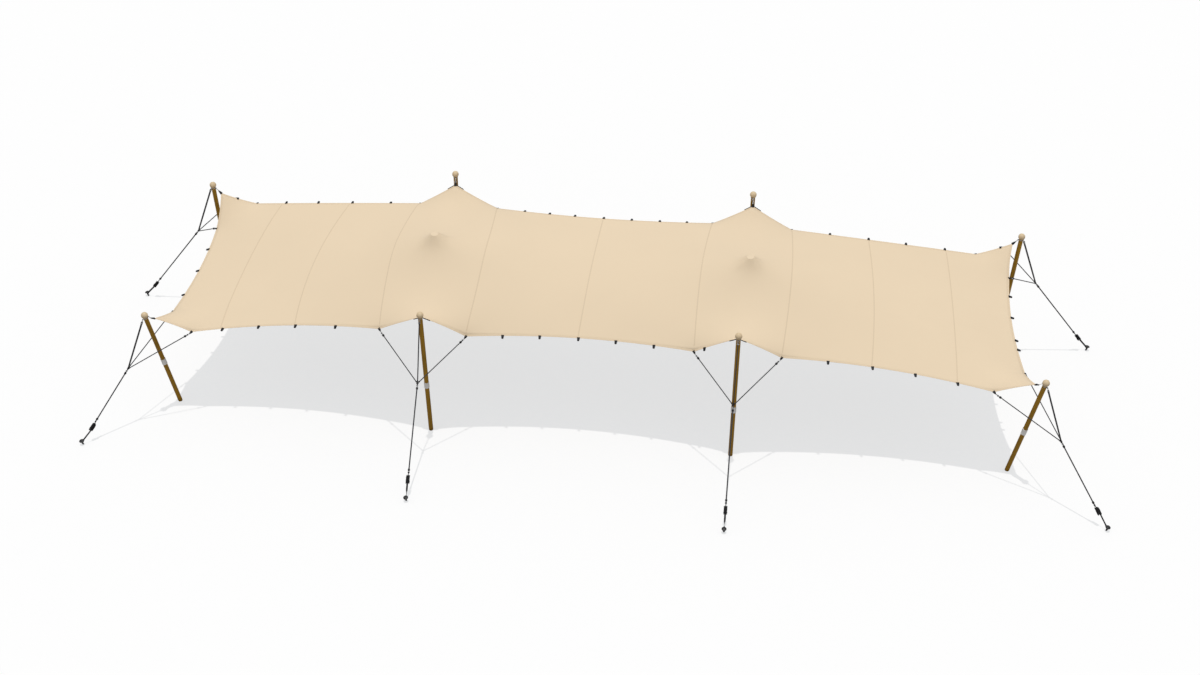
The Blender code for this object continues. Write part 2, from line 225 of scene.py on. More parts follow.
def times(tree, *values):
    return sums(tree, "MULTIPLY", *values)


def spread_over(tree, value, *ends):
    """A value spread from one range over another, with its ends given in that order."""
    return node(tree, "MapRange", dict(enumerate((value, *ends)))).outputs[0]


def noise(tree, vector, scale, **inputs):
    return node(tree, "TexNoise", {"Vector": vector, "Scale": scale, **inputs}).outputs["Fac"]


def blend(tree, share, low, high):
    """A colour between two, by a share."""
    return node(tree, "Mix", {0: share, 6: low, 7: high}, data_type="RGBA").outputs[2]


def effect(name, inputs, outputs):
    """A new shader group, with its input and output sockets."""
    made = bpy.data.node_groups.new(name, "ShaderNodeTree")
    for way, sockets in (("INPUT", inputs), ("OUTPUT", outputs)):
        for label, kind in sockets.items():
            made.interface.new_socket(label, in_out=way, socket_type="NodeSocket" + kind)
    return made, made.nodes.new("NodeGroupInput").outputs, made.nodes.new("NodeGroupOutput").inputs


def use(tree, group, inputs):
    return node(tree, "Group", inputs, node_tree=group).outputs


def parts_of(tree, vector):
    return node(tree, "SeparateXYZ", {0: vector}).outputs


def lay_of(tree):
    """The piece's own UV."""
    return node(tree, "UVMap", uv_map="lay").outputs["UV"]


def place_of(tree):
    return node(tree, "TexCoord").outputs["Object"]


def local_of(tree):
    """The place of a point in its own part, before the parts were joined."""
    return node(tree, "Attribute", attribute_name="local").outputs["Vector"]


def finish(name, **sockets):
    """A new material, with its constants set on the shader's own sockets."""
    made = bpy.data.materials.new(name)
    made.use_nodes = True
    shader = made.node_tree.nodes["Principled BSDF"]
    for socket, value in sockets.items():
        shader.inputs[socket.replace("_", " ")].default_value = value
    return made, made.node_tree, shader


def raised(tree, shader, height, distance, strength=1.0):
    bump = node(tree, "Bump", {"Height": height, "Distance": distance, "Strength": strength})
    tree.links.new(bump.outputs["Normal"], shader.inputs["Normal"])


knit, given, result = effect("knit", dict(Vector="Vector", Colour="Color", Wale="Float"),
                             dict(Colour="Color", Height="Float"))
parts = parts_of(knit, given["Vector"])
zigzag = sums(knit, "PINGPONG", sums(knit, "DIVIDE", parts["Y"], given["Wale"]), 0.5)
column = plus(knit, sums(knit, "DIVIDE", parts["X"], given["Wale"]), zigzag)
knit.links.new(sums(knit, "SINE", times(knit, column, 2.0 * math.pi)), result["Height"])
cloud = noise(knit, given["Vector"], 0.8, Detail=3.0)
fleck = noise(knit, given["Vector"], 240.0, Detail=1.0)
shade = plus(knit, times(knit, cloud, 0.05), times(knit, fleck, 0.05))
toned = node(knit, "VectorMath", {0: given["Colour"], "Scale": plus(knit, shade, 0.95)},
             operation="SCALE")
knit.links.new(toned.outputs[0], result["Colour"])

cloth, tree, shader = finish("stretch_cloth", Roughness=0.82, Sheen_Weight=0.1, Sheen_Roughness=0.45,
                             Specular_IOR_Level=0.2)
knitted = use(tree, knit, {"Vector": lay_of(tree), "Colour": CLOTH_COLOUR, "Wale": WALE})
tree.links.new(knitted["Colour"], shader.inputs["Base Color"])
raised(tree, shader, knitted["Height"], KNIT_DEPTH, 0.5)

net = taut_net()
shape = skin(net, ring=False)
shape.normal_update()
top_of_cloth = BVHTree.FromBMesh(shape)
canopy = piece("canopy_cloth", shape, cloth, ["canopy"])
thick = canopy.modifiers.new("Solidify", "SOLIDIFY")
thick.thickness = CLOTH_THICKNESS
thick.offset = -1.0


# Panel seams. Nine lapped seams join the ten panels across the tent. Each is sewn in two rows and
# covered with a narrow heat-bonded tape of the same knit, which shows as a faint darker line.
SEAMS = (          # where each seam lies along the tent at the front edge, the middle line and the back edge
    (-6.25, -6.20, -5.93), (-4.95, -4.93, -4.64), (-3.44, -3.50, -3.36), (-1.97, -1.89, -1.95),
    (-0.10, -0.045, -0.01), (1.85, 1.845, 1.94), (3.29, 3.375, 3.34), (4.765, 4.79, 4.70),
    (6.165, 6.15, 6.07),
)
TAPE_WIDTH = 0.020
TAPE_PROUD = 0.0008
TAPE_INSET = 0.010                    # its ends stop this far inside the canopy's edge
TAPE_STEPS = 90
TAPE_COLOUR = (0.762, 0.614, 0.433)
STITCH_PITCH, STITCH_INSET, STITCH_WIDTH, STITCH_DEPTH = 0.0045, 0.004, 0.0006, 0.0004
THREAD_COLOUR = (0.62, 0.49, 0.34)


def cloth_at(x, y):
    """The point of the cloth's top surface over a point of the plan, and the cloth's normal there."""
    return top_of_cloth.ray_cast(Vector((x, y, 5.0)), -UPRIGHT)[:2]


stitches, given, result = effect("stitches", dict(Across="Float", Along="Float", Row="Float", Pitch="Float",
                                                  Width="Float"), dict(Mask="Float"))
beat = sums(stitches, "PINGPONG", sums(stitches, "DIVIDE", given["Along"], given["Pitch"]), 0.5)
dash = sums(stitches, "GREATER_THAN", beat, 0.12)
off = sums(stitches, "ABSOLUTE", sums(stitches, "SUBTRACT", given["Across"], given["Row"]))
near = sums(stitches, "LESS_THAN", off, given["Width"])
stitches.links.new(times(stitches, dash, near), result["Mask"])


def sewn_knit(finished, knit_place, colour, across, along, sewn_rows, width):
    """Finishes a material as knit with rows of stitching, in colour and in relief."""
    made, tree, shader = finished
    knitted = use(tree, knit, {"Vector": knit_place, "Colour": colour, "Wale": WALE})
    sewn = 0.0
    for row in sewn_rows:
        mask = use(tree, stitches, {"Across": across, "Along": along, "Row": row, "Pitch": STITCH_PITCH,
                                    "Width": width})["Mask"]
        sewn = sums(tree, "MAXIMUM", sewn, mask)
    tree.links.new(blend(tree, sewn, knitted["Colour"], THREAD_COLOUR), shader.inputs["Base Color"])
    height = plus(tree, times(tree, knitted["Height"], 0.15), sewn)
    raised(tree, shader, height, STITCH_DEPTH, 0.8)
    return made


def sewn_cloth(name, colour, girth, sewn_rows):
    """Knit with rows of stitching, on a strip whose UV runs round a section of this girth."""
    finished = finish(name, Roughness=0.8, Sheen_Weight=0.1, Specular_IOR_Level=0.2)
    tree = finished[1]
    apart = parts_of(tree, lay_of(tree))
    across = times(tree, apart["X"], girth)
    flat = node(tree, "CombineXYZ", {"X": across, "Y": apart["Y"]}).outputs[0]
    return sewn_knit(finished, flat, colour, across, apart["Y"], sewn_rows, STITCH_WIDTH)


def joined(parts, shift=0.0):
    """One bmesh of several, each put in its place. Every point keeps its own local place, for the grain."""
    whole = bmesh.new()
    whole.loops.layers.uv.new("lay")
    whole.verts.layers.float_vector.new("local")
    for shape, place in parts:
        if not shape.verts.layers.float_vector.get("local"):
            local = shape.verts.layers.float_vector.new("local")
            for vert in shape.verts:
                vert[local] = vert.co + Vector((0.0, 0.0, shift))
        lent = bpy.data.meshes.new("part")
        shape.to_mesh(lent)
        lent.transform(place)
        whole.from_mesh(lent)
        bpy.data.meshes.remove(lent)
    return whole


def seam_rows(front_x, middle_x, back_x):
    """Sections of one seam's tape, which lies on both faces of the cloth."""
    front_y = np.interp(front_x, net[0, :, 0], net[0, :, 1]) + TAPE_INSET
    back_y = np.interp(back_x, net[-1, :, 0], net[-1, :, 1]) - TAPE_INSET
    way = np.polyfit((front_y, 0.0, back_y), (front_x, middle_x, back_x), 2)
    half, under = TAPE_WIDTH / 2.0, CLOTH_THICKNESS + 2.0 * TAPE_PROUD
    rows = []
    for y in np.linspace(front_y, back_y, TAPE_STEPS):
        middle = np.polyval(way, y)
        section = [(x, y, cloth_at(x, y)[0].z + TAPE_PROUD) for x in (middle - half, middle, middle + half)]
        rows.append(section + [(x, y, z - under) for x, y, z in reversed(section)])
    return rows


tape_girth = 2.0 * (TAPE_WIDTH + CLOTH_THICKNESS + 2.0 * TAPE_PROUD)
tape = sewn_cloth("seam_tape", TAPE_COLOUR, tape_girth, (STITCH_INSET, TAPE_WIDTH - STITCH_INSET))
seams = joined([(skin(seam_rows(*stations)), Matrix()) for stations in SEAMS])
seam_tapes = piece("seam_tapes", seams, tape, smooth_below=60.0)


# Hem. The cloth's edge is turned over a cord and sewn down with two rows, as a slim band all the way
# round that is a little thicker and darker than the single cloth.
HEM_WIDTH = 0.030
HEM_SPLITS = 5                        # rows of the hem to each step of the net
HEM_SECTION = ((HEM_WIDTH, 0.0005), (0.016, 0.0011), (0.002, 0.0014), (-0.0022, 0.0004), (-0.0022, -0.0020),
               (0.002, -0.0030), (0.016, -0.0027), (HEM_WIDTH, -0.0021))   # inward from the edge, and up
HEM_GIRTH = 0.0695
HEM_STITCHES = (0.004, 0.012, 0.055, 0.063)          # on the way round the section
HEM_COLOUR = (0.800, 0.645, 0.455)

rim = np.vstack((net[0, :-1], net[:-1, -1], net[-1, :0:-1], net[:0:-1, 0]))
inner_rim = np.vstack((net[1, 1][None], net[1, 1:-1], net[1, -2][None], net[1:-1, -2], net[-2, -2][None],
                       net[-2, -2:0:-1], net[-2, 1][None], net[-2:0:-1, 1]))
tangent = np.roll(rim, -1, axis=0) - np.roll(rim, 1, axis=0)
tangent /= np.linalg.norm(tangent, axis=1, keepdims=True)
inward = inner_rim - rim
inward -= tangent * np.sum(inward * tangent, axis=1, keepdims=True)
inward /= np.linalg.norm(inward, axis=1, keepdims=True)
upward = np.cross(tangent, inward)


def hem_point(point, way, up, share, rise):
    """A point of the hem's section. Over the cloth it follows the cloth's own curve."""
    place = Vector(point + way * share)
    if share > 0.0:
        place = top_of_cloth.find_nearest(place)[0]
    return np.array(place) + up * rise


hem_rows = []
for number in range(len(rim) * HEM_SPLITS):
    low, share = number // HEM_SPLITS, number % HEM_SPLITS / HEM_SPLITS
    ends = [(line[low], line[(low + 1) % len(rim)]) for line in (rim, inward, upward)]
    point, way, up = [first * (1.0 - share) + second * share for first, second in ends]
    hem_rows.append([hem_point(point, way, up, reach, rise) for reach, rise in HEM_SECTION])
hem_cloth = sewn_cloth("hem_cloth", HEM_COLOUR, HEM_GIRTH, HEM_STITCHES)
hem = piece("hem", skin(hem_rows + hem_rows[:1]), hem_cloth, smooth_below=60.0)


# Peak stiffeners. Under each peak a stiff round of layered cloth holds the round top level. It is sewn
# in behind a cover patch.
COVER_REACH, COVER_RINGS = 0.150, 14
COVER_GAP = 0.0004                    # between the patch's top and the cloth
COVER_SECTION = ((COVER_REACH, 0.0016), (0.120, 0.0020), (0.095, 0.0024), (0.075, 0.0034), (0.062, 0.0090),
                 (0.050, 0.0104), (0.001, 0.0104))   # radius, and depth under the cloth, coming back in
COVER_SIDES = 48
COVER_STITCHES, COVER_STITCH_WIDTH = (0.158, 0.166, 0.220), 0.0008   # out over the top and back in below
SEWN_RADIUS = 0.14
COVER_COLOUR = (0.74, 0.60, 0.43)


def under_cloth(x, y, depth):
    """A point this far under the cloth's underside, measured square to the cloth."""
    place, normal = cloth_at(x, y)
    return tuple(place - normal * (CLOTH_THICKNESS + depth))


def cover_rows(x, y):
    """Rings of a cover patch, from the peak out against the cloth's underside and back in below."""
    turns = [2.0 * math.pi * number / COVER_SIDES for number in range(COVER_SIDES)]
    section = [(radius, COVER_GAP) for radius in np.linspace(0.001, COVER_REACH, COVER_RINGS)]
    return [[under_cloth(x + radius * math.cos(turn), y + radius * math.sin(turn), depth) for turn in turns]
            for radius, depth in section + list(COVER_SECTION)]


finished = finish("cover_cloth", Roughness=0.85, Specular_IOR_Level=0.2)
tree = finished[1]
apart = parts_of(tree, lay_of(tree))
around = times(tree, apart["X"], 2.0 * math.pi * SEWN_RADIUS)
cover_cloth = sewn_knit(finished, place_of(tree), COVER_COLOUR, apart["Y"], around, COVER_STITCHES,
                        COVER_STITCH_WIDTH)
for hand, (x, y, _) in PEAKS.items():
    name = "peak_stiffener_" + hand
    piece(name + "_cover", skin(cover_rows(x, y)), cover_cloth, [name], smooth_below=60.0)


# Edge poles. Eight round poles of oiled hardwood lean out against their guy lines. Each is two turned
# lengths that meet inside a joining sleeve, with a worn, slightly rounded foot on the ground.
FEET = {
    "front_left": (-7.24, -1.44), "front_right": (7.22, -1.56),
    "back_left": (-6.96, 1.20), "back_right": (7.14, 1.28),
    "front_mid_left": (-2.65, -1.69), "front_mid_right": (2.56, -1.74),
    "back_mid_left": (-2.72, 1.70), "back_mid_right": (2.60, 1.72),
}
HEADS = {          # the middle of each pole's ball cap
    "front_left": (-7.45, -1.72, 2.05), "front_right": (7.50, -1.83, 2.11),
    "back_left": (-7.21, 1.55, 2.66), "back_right": (7.36, 1.75, 2.56),
    "front_mid_left": (-2.64, -1.87, 2.59), "front_mid_right": (2.57, -1.87, 2.63),
    "back_mid_left": (-2.75, 1.88, 3.02), "back_mid_right": (2.62, 1.88, 2.99),
}
POLE_RADIUS = 0.038
POLE_SIDES = 40
BALL_RADIUS = 0.059
BALL_SEAT = 0.0445
CORNER_JOINT, MIDDLE_JOINT = 0.990, 1.060
SUNK = 0.05                           # how far a raked piece runs on before it is cut off at the ground
POLE_GRAIN_STEP = 3.7                 # how far the grain moves on from one pole to the next
TIMBER_DARK, TIMBER_GOLD = (0.215, 0.115, 0.0095), (0.500, 0.268, 0.0190)


def turned(profile, sides, closed=False):
    """A profile of (height, radius) spun about the local Z."""
    shape = bmesh.new()
    verts = [shape.verts.new((radius, 0.0, height)) for height, radius in profile]
    edges = [shape.edges.new(pair) for pair in zip(verts, verts[1:])]
    if closed:
        edges.append(shape.edges.new((verts[-1], verts[0])))
    bmesh.ops.spin(shape, geom=verts + edges, cent=(0.0, 0.0, 0.0), axis=(0.0, 0.0, 1.0),
                   angle=2.0 * math.pi, steps=sides, use_merge=True)
    bmesh.ops.remove_doubles(shape, verts=shape.verts[:], dist=1e-6)
    bmesh.ops.recalc_face_normals(shape, faces=shape.faces[:])
    return shape


def aim(start, toward, across=(0.0, 0.0, 1.0)):
    """A place at start whose Z points toward a target, and whose X keeps as near as it can to across."""
    start, across = Vector(start), Vector(across)
    ahead = (Vector(toward) - start).normalized()
    side = (across - ahead * across.dot(ahead)).normalized()
    place = Matrix((side, ahead.cross(side), ahead)).transposed().to_4x4()
    place.translation = start
    return place


def moved(x, y, z):
    return Matrix.Translation((x, y, z))


def cut_at_ground(shape):
    """Cuts a raked piece off level with the ground."""
    everything = shape.verts[:] + shape.edges[:] + shape.faces[:]
    cut = bmesh.ops.bisect_plane(shape, geom=everything, dist=1e-6, plane_co=(0.0, 0.0, 0.0),
                                 plane_no=(0.0, 0.0, 1.0), clear_inner=True)
    edges = [item for item in cut["geom_cut"] if isinstance(item, bmesh.types.BMEdge)]
    bmesh.ops.edgeloop_fill(shape, edges=edges)
    bmesh.ops.recalc_face_normals(shape, faces=shape.faces[:])


def joint_height(name):
    """How far up a pole its two lengths meet."""
    return MIDDLE_JOINT if "_mid_" in name else CORNER_JOINT


def pole_frame(name):
    """Place of a pole's foot with Z up the pole, and the length to its ball's middle."""
    foot = Vector((*FEET[name], 0.0))
    return aim(foot, HEADS[name], (1.0, 0.0, 0.0)), (Vector(HEADS[name]) - foot).length


grain, given, result = effect("wood_grain", dict(Vector="Vector", Fineness="Float", Dark="Color",
                                                 Light="Color"), dict(Colour="Color", Height="Float"))
drawn = node(grain, "VectorMath", {0: given["Vector"], 1: (1.0, 1.0, 0.045)}, operation="MULTIPLY").outputs[0]
streak = noise(grain, drawn, given["Fineness"], Detail=5.0, Roughness=0.6, Distortion=0.4)
figure = noise(grain, drawn, times(grain, given["Fineness"], 0.22), Detail=2.0)
mixed = plus(grain, times(grain, streak, 0.55), times(grain, figure, 0.45))
share = spread_over(grain, mixed, 0.36, 0.64)
grain.links.new(blend(grain, share, given["Dark"], given["Light"]), result["Colour"])
grain.links.new(streak, result["Height"])

timber, tree, shader = finish("oiled_hardwood", Roughness=0.5, Coat_Weight=0.06, Coat_Roughness=0.3,
                              Specular_IOR_Level=0.2)
grained = use(tree, grain, {"Vector": local_of(tree), "Fineness": 90.0, "Dark": TIMBER_DARK,
                            "Light": TIMBER_GOLD})
# Painted sheen: the colour turns gold where the pole's surface turns away from the camera, a painted
# reflection along its edges.
facing = node(tree, "LayerWeight", {"Blend": 0.5}).outputs["Facing"]
painted_sheen_share = spread_over(tree, facing, 0.15, 0.75, 0.0, 0.55)
oiled_with_painted_sheen = blend(tree, painted_sheen_share, grained["Colour"], TIMBER_GOLD)
# The colour darkens towards the pole's foot, over its lowest 6 cm above the ground.
darker_towards_foot = spread_over(tree, parts_of(tree, place_of(tree))["Z"], 0.0, 0.06, 0.65, 0.0)
tree.links.new(blend(tree, darker_towards_foot, oiled_with_painted_sheen, TIMBER_DARK), shader.inputs["Base Color"])
raised(tree, shader, grained["Height"], 0.0004, 0.6)

for number, name in enumerate(FEET):
    place, length = pole_frame(name)
    top, joint, eased = length - BALL_SEAT - 0.0003, joint_height(name), POLE_RADIUS - 0.002
    lower = ((-SUNK, 0.0), (-SUNK, POLE_RADIUS - 0.004), (-0.006, POLE_RADIUS - 0.004),
             (0.004, POLE_RADIUS - 0.0015), (0.014, POLE_RADIUS), (joint - 0.003, POLE_RADIUS),
             (joint - 0.001, eased), (joint - 0.001, 0.0))
    upper = ((joint + 0.001, 0.0), (joint + 0.001, eased), (joint + 0.003, POLE_RADIUS),
             (top - 0.002, POLE_RADIUS), (top, eased), (top, 0.0))
    lengths = [(turned(profile, POLE_SIDES), place) for profile in (lower, upper)]
    shape = joined(lengths, shift=POLE_GRAIN_STEP * number)
    cut_at_ground(shape)
    piece("pole_" + name + "_timber", shape, timber, ["pole_" + name])


# Ball caps. Each pole ends in a turned ball of pale sealed wood, cut flat where it seats on the pole
# and scored with a fine ring above the seat. It keeps the guy lines' collar from slipping off.
BALL_SIDES, BALL_STEPS = 48, 24
BALL_SCORE, SCORED_STEP = 0.0008, 3
BALL_GRAIN_STEP = 0.61
BALL_DARK, BALL_PALE = (0.66, 0.50, 0.31), (0.80, 0.65, 0.43)

low = math.asin(-BALL_SEAT / BALL_RADIUS)
ball = [(-BALL_SEAT, 0.0), (-BALL_SEAT, BALL_RADIUS * math.cos(low) - 0.001)]
for number in range(1, BALL_STEPS + 1):
    angle = low + (math.pi / 2.0 - low) * number / BALL_STEPS
    scored = BALL_SCORE if number == SCORED_STEP else 0.0
    ball.append((BALL_RADIUS * math.sin(angle), max(BALL_RADIUS * math.cos(angle) - scored, 0.0)))

pale_wood, tree, shader = finish("pale_turned_wood", Roughness=0.5, Specular_IOR_Level=0.3)
grained = use(tree, grain, {"Vector": local_of(tree), "Fineness": 130.0, "Dark": BALL_DARK,
                            "Light": BALL_PALE})
tree.links.new(grained["Colour"], shader.inputs["Base Color"])
raised(tree, shader, grained["Height"], 0.0002, 0.4)
for number, name in enumerate(FEET):
    place, length = pole_frame(name)
    head = place @ moved(0.0, 0.0, length)
    shape = joined([(turned(ball, BALL_SIDES), head)], shift=BALL_GRAIN_STEP * number)
    piece("ball_cap_" + name + "_wood", shape, pale_wood, ["ball_cap_" + name])


# Joining sleeves. An off-white powder-coated steel tube covers the joint of the two lengths of each
# pole. Its ends are rolled, and two countersunk screws hold each length.
SLEEVE_LENGTH = 0.122
SLEEVE_INNER, SLEEVE_OUTER = 0.0385, 0.0445
ROLL_PROUD = 0.0008
SCREW_HEIGHT = 0.040                  # of the screws, up and down from the joint
SLEEVE_GRIME_STEP = 0.3
SLEEVE_COLOUR, SLEEVE_WORN = (0.92, 0.92, 0.91), (0.72, 0.72, 0.70)

crosswise = Matrix.Rotation(math.pi / 2.0, 4, "Y")


def alike_ends(end):
    """A profile that ends alike both ways, from the points of its upper end going down."""
    return [(-height, radius) for height, radius in end] + list(reversed(end))


half, rolled = SLEEVE_LENGTH / 2.0, SLEEVE_OUTER + ROLL_PROUD
tube = alike_ends(((half, SLEEVE_INNER), (half, SLEEVE_OUTER - 0.001), (half - 0.001, rolled),
                   (half - 0.005, rolled), (half - 0.007, SLEEVE_OUTER)))
screw = ((-0.003, 0.0), (-0.003, 0.0055), (0.0002, 0.0055), (0.0012, 0.0045), (0.0014, 0.0016),
         (0.0006, 0.0012), (0.0006, 0.0))

wear, given, result = effect("wear", dict(Vector="Vector", Edge="Float", Scale="Float", Amount="Float"),
                             dict(Mask="Float", Grime="Float", Peel="Float"))
rubbed = noise(wear, given["Vector"], given["Scale"], Detail=6.0, Roughness=0.7)
sharp = spread_over(wear, given["Edge"], 0.52, 0.60)
worn = times(wear, times(wear, sharp, rubbed), given["Amount"])
wear.links.new(sums(wear, "MINIMUM", worn, 1.0), result["Mask"])
wear.links.new(spread_over(wear, rubbed, 0.42, 0.72), result["Grime"])
wear.links.new(noise(wear, given["Vector"], 900.0, Detail=2.0), result["Peel"])


def coated_metal(name, colour, worn, scale, amount, **sockets):
    """Painted or plated metal with soft grime, an orange-peel skin and rubbed edges."""
    made, tree, shader = finish(name, **sockets)
    edge = node(tree, "NewGeometry").outputs["Pointiness"]
    masks = use(tree, wear, {"Vector": local_of(tree), "Edge": edge, "Scale": scale, "Amount": amount})
    dusty = blend(tree, times(tree, masks["Grime"], 0.25), colour, worn)
    tree.links.new(blend(tree, masks["Mask"], dusty, worn), shader.inputs["Base Color"])
    rough = sockets["Roughness"]
    roughness = spread_over(tree, masks["Grime"], 0.0, 1.0, rough - 0.06, rough + 0.10)
    tree.links.new(roughness, shader.inputs["Roughness"])
    raised(tree, shader, masks["Peel"], 0.0001, 0.5)
    return made


white_coat = coated_metal("white_powder_coat", SLEEVE_COLOUR, SLEEVE_WORN, 35.0, 0.7, Roughness=0.4,
                          Specular_IOR_Level=0.4)
for number, name in enumerate(FEET):
    place = pole_frame(name)[0] @ moved(0.0, 0.0, joint_height(name))
    parts = [(turned(tube, POLE_SIDES, closed=True), place)]
    for height in (-SCREW_HEIGHT, SCREW_HEIGHT):
        for turn in (0.0, math.pi):
            out = Matrix.Rotation(turn, 4, "Z") @ moved(SLEEVE_OUTER, 0.0, height)
            parts.append((turned(screw, 16), place @ out @ crosswise))
    shape = joined(parts, shift=SLEEVE_GRIME_STEP * number)
    piece("sleeve_" + name + "_tube", shape, white_coat, ["sleeve_" + name])


# Collars and shackles. A slim galvanised steel collar sits on each pole just under its ball, with one eye
# for the canopy's tip and one for the strop. Bow shackles join the first eye to the tip's clamp, the
# second to the strop, each edge rope to its clamp, and the main line to the ring where the lines meet.
KNOTS = {
    "front_left": (-7.79, -2.05, 1.12), "front_right": (7.86, -2.17, 1.20),
    "back_left": (-7.69, 1.65, 1.55), "back_right": (7.79, 1.90, 1.49),
    "front_mid_left": (-2.67, -2.27, 1.475), "front_mid_right": (2.56, -2.30, 1.545),
    "back_mid_left": (-2.78, 2.30, 1.80), "back_mid_right": (2.64, 2.30, 1.77),
}
STAKES = {
    "front_left": (-8.51, -2.80), "front_right": (8.70, -2.86),
    "back_left": (-8.90, 1.60), "back_right": (8.95, 2.02),
    "front_mid_left": (-2.69, -3.53), "front_mid_right": (2.56, -3.64),
    "back_mid_left": (-2.83, 3.64), "back_mid_right": (2.68, 3.64),
}
STAKE_LEAN = math.radians(13.0)
STAKE_RADIUS = 0.014
STRAP_HEIGHT, STRAP_STANDOFF = 0.054, 0.0145    # up the stake, and out from it to where the line aims
COLLAR_DROP = 0.060
COLLAR_LENGTH = 0.012
COLLAR_INNER, COLLAR_OUTER = 0.0385, 0.0413
EYE_INNER, EYE_OUTER, EYE_HALF = 0.0060, 0.0125, 0.0032
EYE_REACH = 0.0528                    # from the pole's axis to the middle of an eye
SHACKLE_BAR, SHACKLE_WIDTH = 0.0040, 0.022
SLIM_BAR, SLIM_WIDTH = 0.0032, 0.016
STROP_SHACKLE, EDGE_SHACKLE, KNOT_SHACKLE = 0.058, 0.044, 0.034
TIP_CLAMP_REACH, EDGE_CLAMP_REACH = 0.052, 0.044    # from the cloth's edge out to the eye of its clamp
KNOT_RING, KNOT_BAR = 0.0140, 0.0065
CLAMP_POINTS = 12                     # points of the net that tell a clamp which way the cloth lies
CLAMP_PULL = 2.5                      # weight of its rope in a clamp's direction, against 1 for the cloth
ZINC, ZINC_DULL = (0.55, 0.56, 0.57), (0.36, 0.37, 0.38)


def flat_ring(half, inner, outer):
    """Profile of a ring of this half length, with its outer edges eased."""
    return alike_ends(((half, inner), (half, outer - 0.001), (half - 0.001, outer)))


collar_band = flat_ring(COLLAR_LENGTH / 2.0, COLLAR_INNER, COLLAR_OUTER)
eye_ring = flat_ring(EYE_HALF, EYE_INNER, EYE_OUTER)


def swept(path, radius, sides=12, across=None):
    """A round bar or rope along a path, with softly rounded ends."""
    path = np.asarray(path, float)
    first, last = path[1] - path[0], path[-2] - path[-1]
    soft = [end * min(0.5 * radius / np.linalg.norm(end), 0.4) for end in (first, last)]
    path = np.vstack((path[:1], path[:1] + soft[0], path[1:-1], path[-1:] + soft[1], path[-1:]))
    radii = [0.6 * radius] + [radius] * (len(path) - 2) + [0.6 * radius]
    ahead = np.gradient(path, axis=0)
    ahead /= np.linalg.norm(ahead, axis=1, keepdims=True)
    side = np.array(across if across is not None else Vector(ahead[0]).orthogonal())
    turns = np.linspace(0.0, 2.0 * math.pi, sides, endpoint=False)
    rows = []
    for point, way, size in zip(path, ahead, radii):
        side = side - way * np.dot(side, way)
        side = side / np.linalg.norm(side)
        other = np.cross(way, side)
        rows.append([point + (side * math.cos(turn) + other * math.sin(turn)) * size for turn in turns])
    return skin(rows)


def arc(middle, radius, start, end, steps, plane=(0, 2)):
    """Points of a circular arc in the plane of two local axes, with angles from the first axis."""
    points = []
    for angle in np.linspace(math.radians(start), math.radians(end), steps):
        point = list(middle)
        point[plane[0]] += radius * math.cos(angle)
        point[plane[1]] += radius * math.sin(angle)
        points.append(tuple(point))
    return points


def shackle(length, width, bar):
    """A bow shackle whose crown hangs in an eye at the origin and whose pin crosses at z = length."""
    half = width / 2.0
    bow = [(-half, 0.0, length), (-half, 0.0, 0.5 * (length + half))]
    bow += arc((0.0, 0.0, half), half, 180.0, 360.0, 13)
    bow += [(half, 0.0, 0.5 * (length + half)), (half, 0.0, length)]
    pin = ((-half - 0.009, 0.0), (-half - 0.009, 0.006), (-half - 0.005, 0.0065),
           (-half - 0.0048, bar * 0.85), (half + 0.008, bar * 0.85), (half + 0.009, 0.0))
    lug = flat_ring(0.0035, 0.0, 0.007)
    at_pin = moved(0.0, 0.0, length) @ crosswise
    parts = [(swept(bow, bar, across=(0.0, 1.0, 0.0)), Matrix()), (turned(pin, 16), at_pin)]
    for side in (-half, half):
        parts.append((turned(lug, 16), at_pin @ moved(0.0, 0.0, side)))
    return joined(parts)


def rigging(name):
    """Where a pole's fittings sit: its collar with two eyes, its knot and the canopy's tip."""
    place, length = pole_frame(name)
    axis = place.to_3x3().col[2].copy()
    middle = Vector(HEADS[name]) - axis * COLLAR_DROP
    found = {"collar": middle, "knot": Vector(KNOTS[name]), "tip": Vector(TIPS[name])}
    for key in ("knot", "tip"):
        out = found[key] - middle
        out = (out - axis * out.dot(axis)).normalized()
        found[key + "_eye"] = middle + out * EYE_REACH
        found[key + "_hole"] = axis.cross(out)
    return found


def stake_frame(name):
    """Place of a stake's foot with Z up the stake, which leans away from its pole."""
    foot = Vector((*STAKES[name], 0.0))
    away = (foot - Vector((*FEET[name], 0.0))).normalized()
    return aim(foot, foot + away * math.sin(STAKE_LEAN) + Vector((0.0, 0.0, math.cos(STAKE_LEAN))), away)


def strap_hold(name):
    """The middle of a strap's loop on its stake, and the way up the stake."""
    place = stake_frame(name)
    axis = place.to_3x3().col[2].copy()
    return place.translation + axis * STRAP_HEIGHT, axis


def strap_lug(name):
    """Where a pole's line comes down to the strap's loop on its stake."""
    hold, axis = strap_hold(name)
    reach = Vector(KNOTS[name]) - hold
    return hold + (reach - axis * reach.dot(axis)).normalized() * (STAKE_RADIUS + STRAP_STANDOFF)


def main_line(name):
    """The lower end of a pole's main line, and the way down it."""
    lug = strap_lug(name)
    return lug, (lug - Vector(KNOTS[name])).normalized()


def knot_normal(name):
    """Direction that a pole's knot ring faces, square to the lines that pull on it."""
    first, second = [Vector(corner) for corner in CLAMPS[name]]
    return (strap_lug(name) - Vector(KNOTS[name])).cross(first - second).normalized()


def ring_point(name, target):
    """The point of a pole's knot ring that a line to this target pulls on."""
    normal = knot_normal(name)
    way = Vector(target) - Vector(KNOTS[name])
    return Vector(KNOTS[name]) + (way - normal * way.dot(normal)).normalized() * KNOT_RING


def knot_pin(name):
    """The pin of the shackle that hangs the main line from a pole's knot ring."""
    way = (ring_point(name, strap_lug(name)) - Vector(KNOTS[name])).normalized()
    return Vector(KNOTS[name]) + way * (KNOT_RING - KNOT_BAR - SLIM_BAR + KNOT_SHACKLE)


